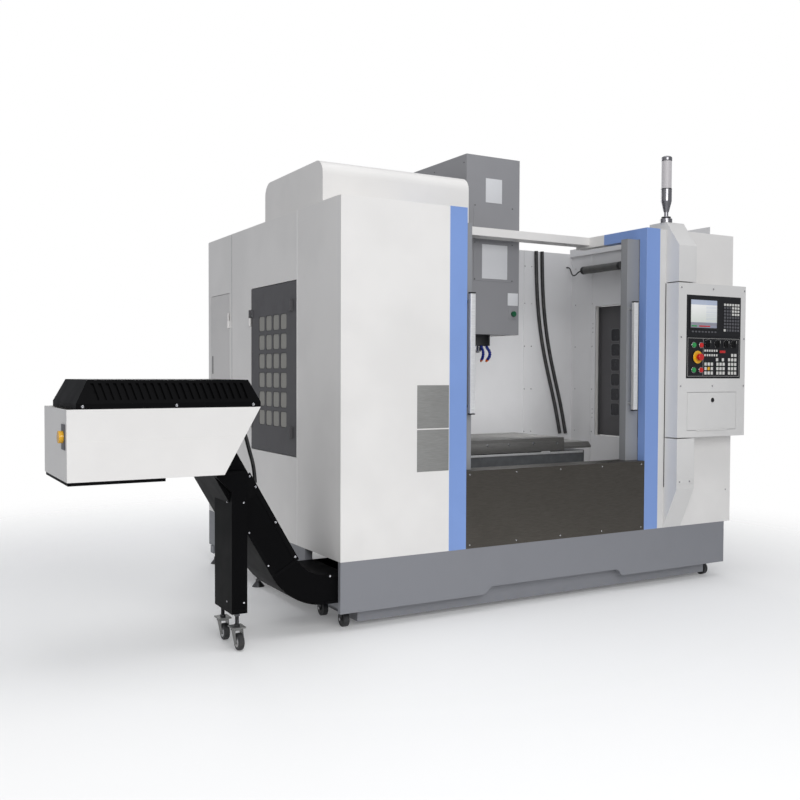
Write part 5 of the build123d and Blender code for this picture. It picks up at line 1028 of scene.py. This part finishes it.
def duct_plates():
    """Lap plates, edge flanges and bolts on the duct's front face and the leg."""
    angle = radians(60)
    up = Vector((-cos(angle), 0, sin(angle)))
    out = Vector((sin(angle), 0, cos(angle)))
    root = Vector((-202.9, 30, 357.5))
    plates = Piece("duct_lap_plates", "duct_black")

    def strip(start, end, low, high, depth=2.4):
        """A plate on the duct's front between two stations and two distances from its edge."""
        corners = [root + up * s + out * d
                   for s, d in ((start, low), (end, low), (end, high), (start, high))]
        plates.loft([[c - Vector((0, depth, 0)) for c in corners], corners])

    strip(0, 470, -12, 8)
    strip(0, 430, -136, -122)
    strip(372, 470, -122, -12, 3.6)
    strip(-6, 8, -122, -12, 3.0)
    plates.box(-60, 24, 27.6, 30, 139, 151)
    plates.box(-60, 24, 27.6, 30, 261, 273)
    plates.box(12, 24, 27.0, 30, 151, 261)
    plates.box(-522, -457, -2.4, 0, 160, 174, 0.6)
    plates.done()
    bolts = Piece("duct_bolts", "chrome")
    for stations, edge, radius, cap in (((20, 210, 400, 456), -2, 5.5, 3.2),
                                        ((60, 240, 400), -129, 4.5, 2.6)):
        for station in stations:
            place = root + up * station + Vector((0, -2.4, 0)) + out * edge
            bolts.screw(tuple(place), FRONT, radius, cap)
    for x, z in ((-40, 267), (18, 250), (18, 160)):
        bolts.screw((x, 27.2, z), FRONT, 5.0, 2.8)
    for z in (200, 640):
        bolts.screw((-470, 0, z), FRONT, 4.5, 2.6)
        bolts.screw((-525, 60, z), LEFT, 4.5, 2.6)
    bolts.done()


def feet_details():
    """Casters' tyres and hubs, threaded rods and lock nuts."""
    for body, y in (("front_wheel", -14.0), ("rear_wheel", 172.0)):
        hub = Piece(f"{body}_hub", "steel", body)
        for side in (-1, 1):
            hub.turned((CASTER_X + side * 13.0, y, AXLE_Z), (side, 0, 0),
                       [(-1, 24), (0.8, 23), (1.2, 14), (2.4, 12), (2.4, 7)], 28)
        hub.done()
    tyres = Piece("tank_caster_tyres", "rubber")
    forks = Piece("tank_caster_forks", "steel")
    tyre = [(0, 30), (1.5, 35.5), (5, 36.9), (21.8, 36.9), (25.3, 35.5), (26.8, 30)]
    axle_nut = [(0, 8), (2.5, 8), (4.2, 5)]
    for x in (70.0, 2482.0):
        for y in (105.0, 340.0):
            tyres.turned((x - 13.4, y, AXLE_Z), RIGHT, tyre, 36)
            for side in (-1, 1):
                forks.turned((x + side * 20.5, y, AXLE_Z), (side, 0, 0), axle_nut, 6)
            forks.turned((x, y, 91.6), DOWN, [(0, 25), (4, 25), (6, 20)], 28)
    tyres.done()
    forks.done()
    nuts = Piece("caster_lock_nuts", "dark_steel")
    for y in (14.0, 200.0):
        for low, high in ((99, 107), (143, 152.5)):
            nuts.rod((CASTER_X, y, low), (CASTER_X, y, high), 13, 6)
        for n in range(16):
            nuts.turned((CASTER_X, y, 108 + n * 2.2), UP, [(0, 8.1), (0.8, 8.7), (1.6, 8.1)], 16)
    nuts.done()


def enclosure_details():
    """Screws, blank plates, seams with painted highlights and shadows, and handles on the outside
    of the enclosure.
    """
    low, high = PANEL_BOTTOM, PANEL_TOP
    screws = Piece("apron_screws", "steel")
    for x in (720, 1010, 1300, 1590, 1880):
        for z in (348, 702):
            screws.screw((x, -0.1, z), FRONT, 4.2)
    for x in (2230, 2560):
        screws.screw((x, -0.1, 520), FRONT, 4.0)
    screws.done()
    boxes("specification_plate", "plate", 0.3,
          (410, 592, -1.0, 0.1, 940, 1150), (410, 592, -1.0, 0.1, 730, 934))
    boxes("access_handle_slot", "black_plastic", 0.5,
          (-1.2, 0.6, 1810.5, 1823.5, 1199.5, 1310.5), body="rear_access", slot="white_paint")
    # Painted highlights: pale strips where the light catches the side panel's folded seams
    boxes("side_seam_painted_highlights", "edge_white", 0.0,
          (-0.9, 0.6, 499.0, 503.4, low, high), (-0.9, 0.1, 1469.0, 1473.0, low, high))
    # Painted shadows: dark strips beside the rear side seam and in the gap left of the control post
    boxes("side_seam_painted_shadows", "rubber", 0.0,
          (-0.5, 0.1, 1466.2, 1468.6, low, high), (2049.4, 2050.2, -6.0, -0.4, 563, 1722))
    boxes("post_foot_plate", "pendant", 0.5, (2053, 2181, -102.0, -99.8, 588, 616))
    bolts = Piece("post_foot_bolts", "steel")
    for x in (2070, 2148):
        bolts.screw((x, -101.8, 601), FRONT, 5.5, 3.0)
    bolts.done()
    boxes("roof_joint_strip", "white", 0.6, (3, 592, 36, 57, high, high + 3))
    for name, body, x in (("door_handle_ends", "left_door_body", 724.5),
                          ("right_handle_ends", "right_door_body", 1823.5)):
        boxes(name, "black_plastic", 1.0,
              *((x, x + 31, 9.5, 32.5, z, z + 6) for z in (1001, 1608)), body=body)
    for side, x in (("left", 725.0), ("right", 1824.0)):
        boxes(f"{side}_handle_bar", "bright_sheet", 5.0,
              (x - 0.6, x + 30.6, 9.4, 32.6, 1007, 1608), body=f"{side}_door_body")


# Camera, light and floor
def set_camera():
    data = bpy.data.cameras.new("photo_camera")
    data.sensor_width = 36.0
    data.lens = 42.02
    data.clip_end = 60.0
    camera = add_object("photo_camera", data)
    turn = Matrix.Rotation(radians(-29.83), 4, "Z")
    tilt = Matrix.Rotation(radians(90 - 1.67), 4, "X")
    roll = Matrix.Rotation(radians(0.21), 4, "Z")
    camera.matrix_world = Matrix.Translation(at(-1901, -3864, 1210)) @ turn @ tilt @ roll
    bpy.context.scene.camera = camera


def area_light(name, place, target, size, power):
    data = bpy.data.lights.new(name, "AREA")
    data.shape = "RECTANGLE"
    data.size, data.size_y = size
    data.energy = power
    lamp = add_object(name, data)
    lamp.visible_camera = False
    run = Vector(target) - Vector(place)
    aim = run.to_track_quat("-Z", "Y").to_matrix().to_4x4()
    lamp.matrix_world = Matrix.Translation(place) @ aim


def set_light():
    area_light("key", (-1.9, -6.3, 3.1), (0.1, 0, 1.0), (4.0, 3.0), 178)
    area_light("fill", (-5.5, -2.0, 2.6), (-0.4, 0, 1.0), (3.5, 3.0), 9)
    area_light("top", (0.3, -1.6, 6.0), (0.2, -0.2, 0.8), (5.0, 5.0), 92)
    area_light("rear", (1.5, 6.0, 3.0), (0.2, 0, 1.2), (4.0, 3.0), 90)
    area_light("inside", at(1740, 640, 1130), at(1850, 1402, 1060), (0.45, 0.5), 3.4)
    world = bpy.data.worlds.new("studio")
    bpy.context.scene.world = world
    world.use_nodes = True
    nodes, links = world.node_tree.nodes, world.node_tree.links
    nodes.clear()
    out = nodes.new("ShaderNodeOutputWorld")
    mix = nodes.new("ShaderNodeMixShader")
    path = nodes.new("ShaderNodeLightPath")
    links.new(path.outputs["Is Camera Ray"], mix.inputs["Fac"])
    # A soft sky lights the machine, and the camera sees plain white
    for place, color, strength in ((1, (0.93, 0.95, 1.0, 1), 0.42), (2, (1, 1, 1, 1), 1.0)):
        background = nodes.new("ShaderNodeBackground")
        background.inputs["Color"].default_value = color
        background.inputs["Strength"].default_value = strength
        links.new(background.outputs[0], mix.inputs[place])
    links.new(mix.outputs[0], out.inputs["Surface"])


def set_floor():
    """A pale floor that takes the machine's shadow and fades out into the white round it."""
    form = bmesh.new()
    bmesh.ops.create_circle(form, cap_ends=True, segments=96, radius=14.0,
                            matrix=Matrix.Translation((0, 0, -0.001)))
    mesh = bpy.data.meshes.new("studio_floor")
    form.to_mesh(mesh)
    form.free()
    f = Finish("studio_floor", (0.86, 0.86, 0.855), 0.7)
    f.set("Emission Color", (1.0, 1.0, 1.0, 1.0))
    f.set("Emission Strength", 0.1)
    f.set("Base Color", f.blend(f.noise(0.6, 3.0) * 0.2, (0.93, 0.93, 0.925), (0.9, 0.9, 0.9)))
    x, y = f.axis("X"), f.axis("Y")
    f.set("Alpha", f.step((x * x + y * y).power(0.5), 4.6, 1.8))
    mesh.materials.append(f.material)
    floor = add_object("studio_floor", mesh)
    bpy.context.scene.view_settings.view_transform = "Standard"


dress_nodes()
service_doors()
hinge_screws()
pendant_details()
head_details()
coolant_hoses()
table_details()
hoses()
wall_details()
lamp_details()
tower_details()
conveyor_details()
feet_details()
enclosure_details()
set_camera()
set_light()
set_floor()
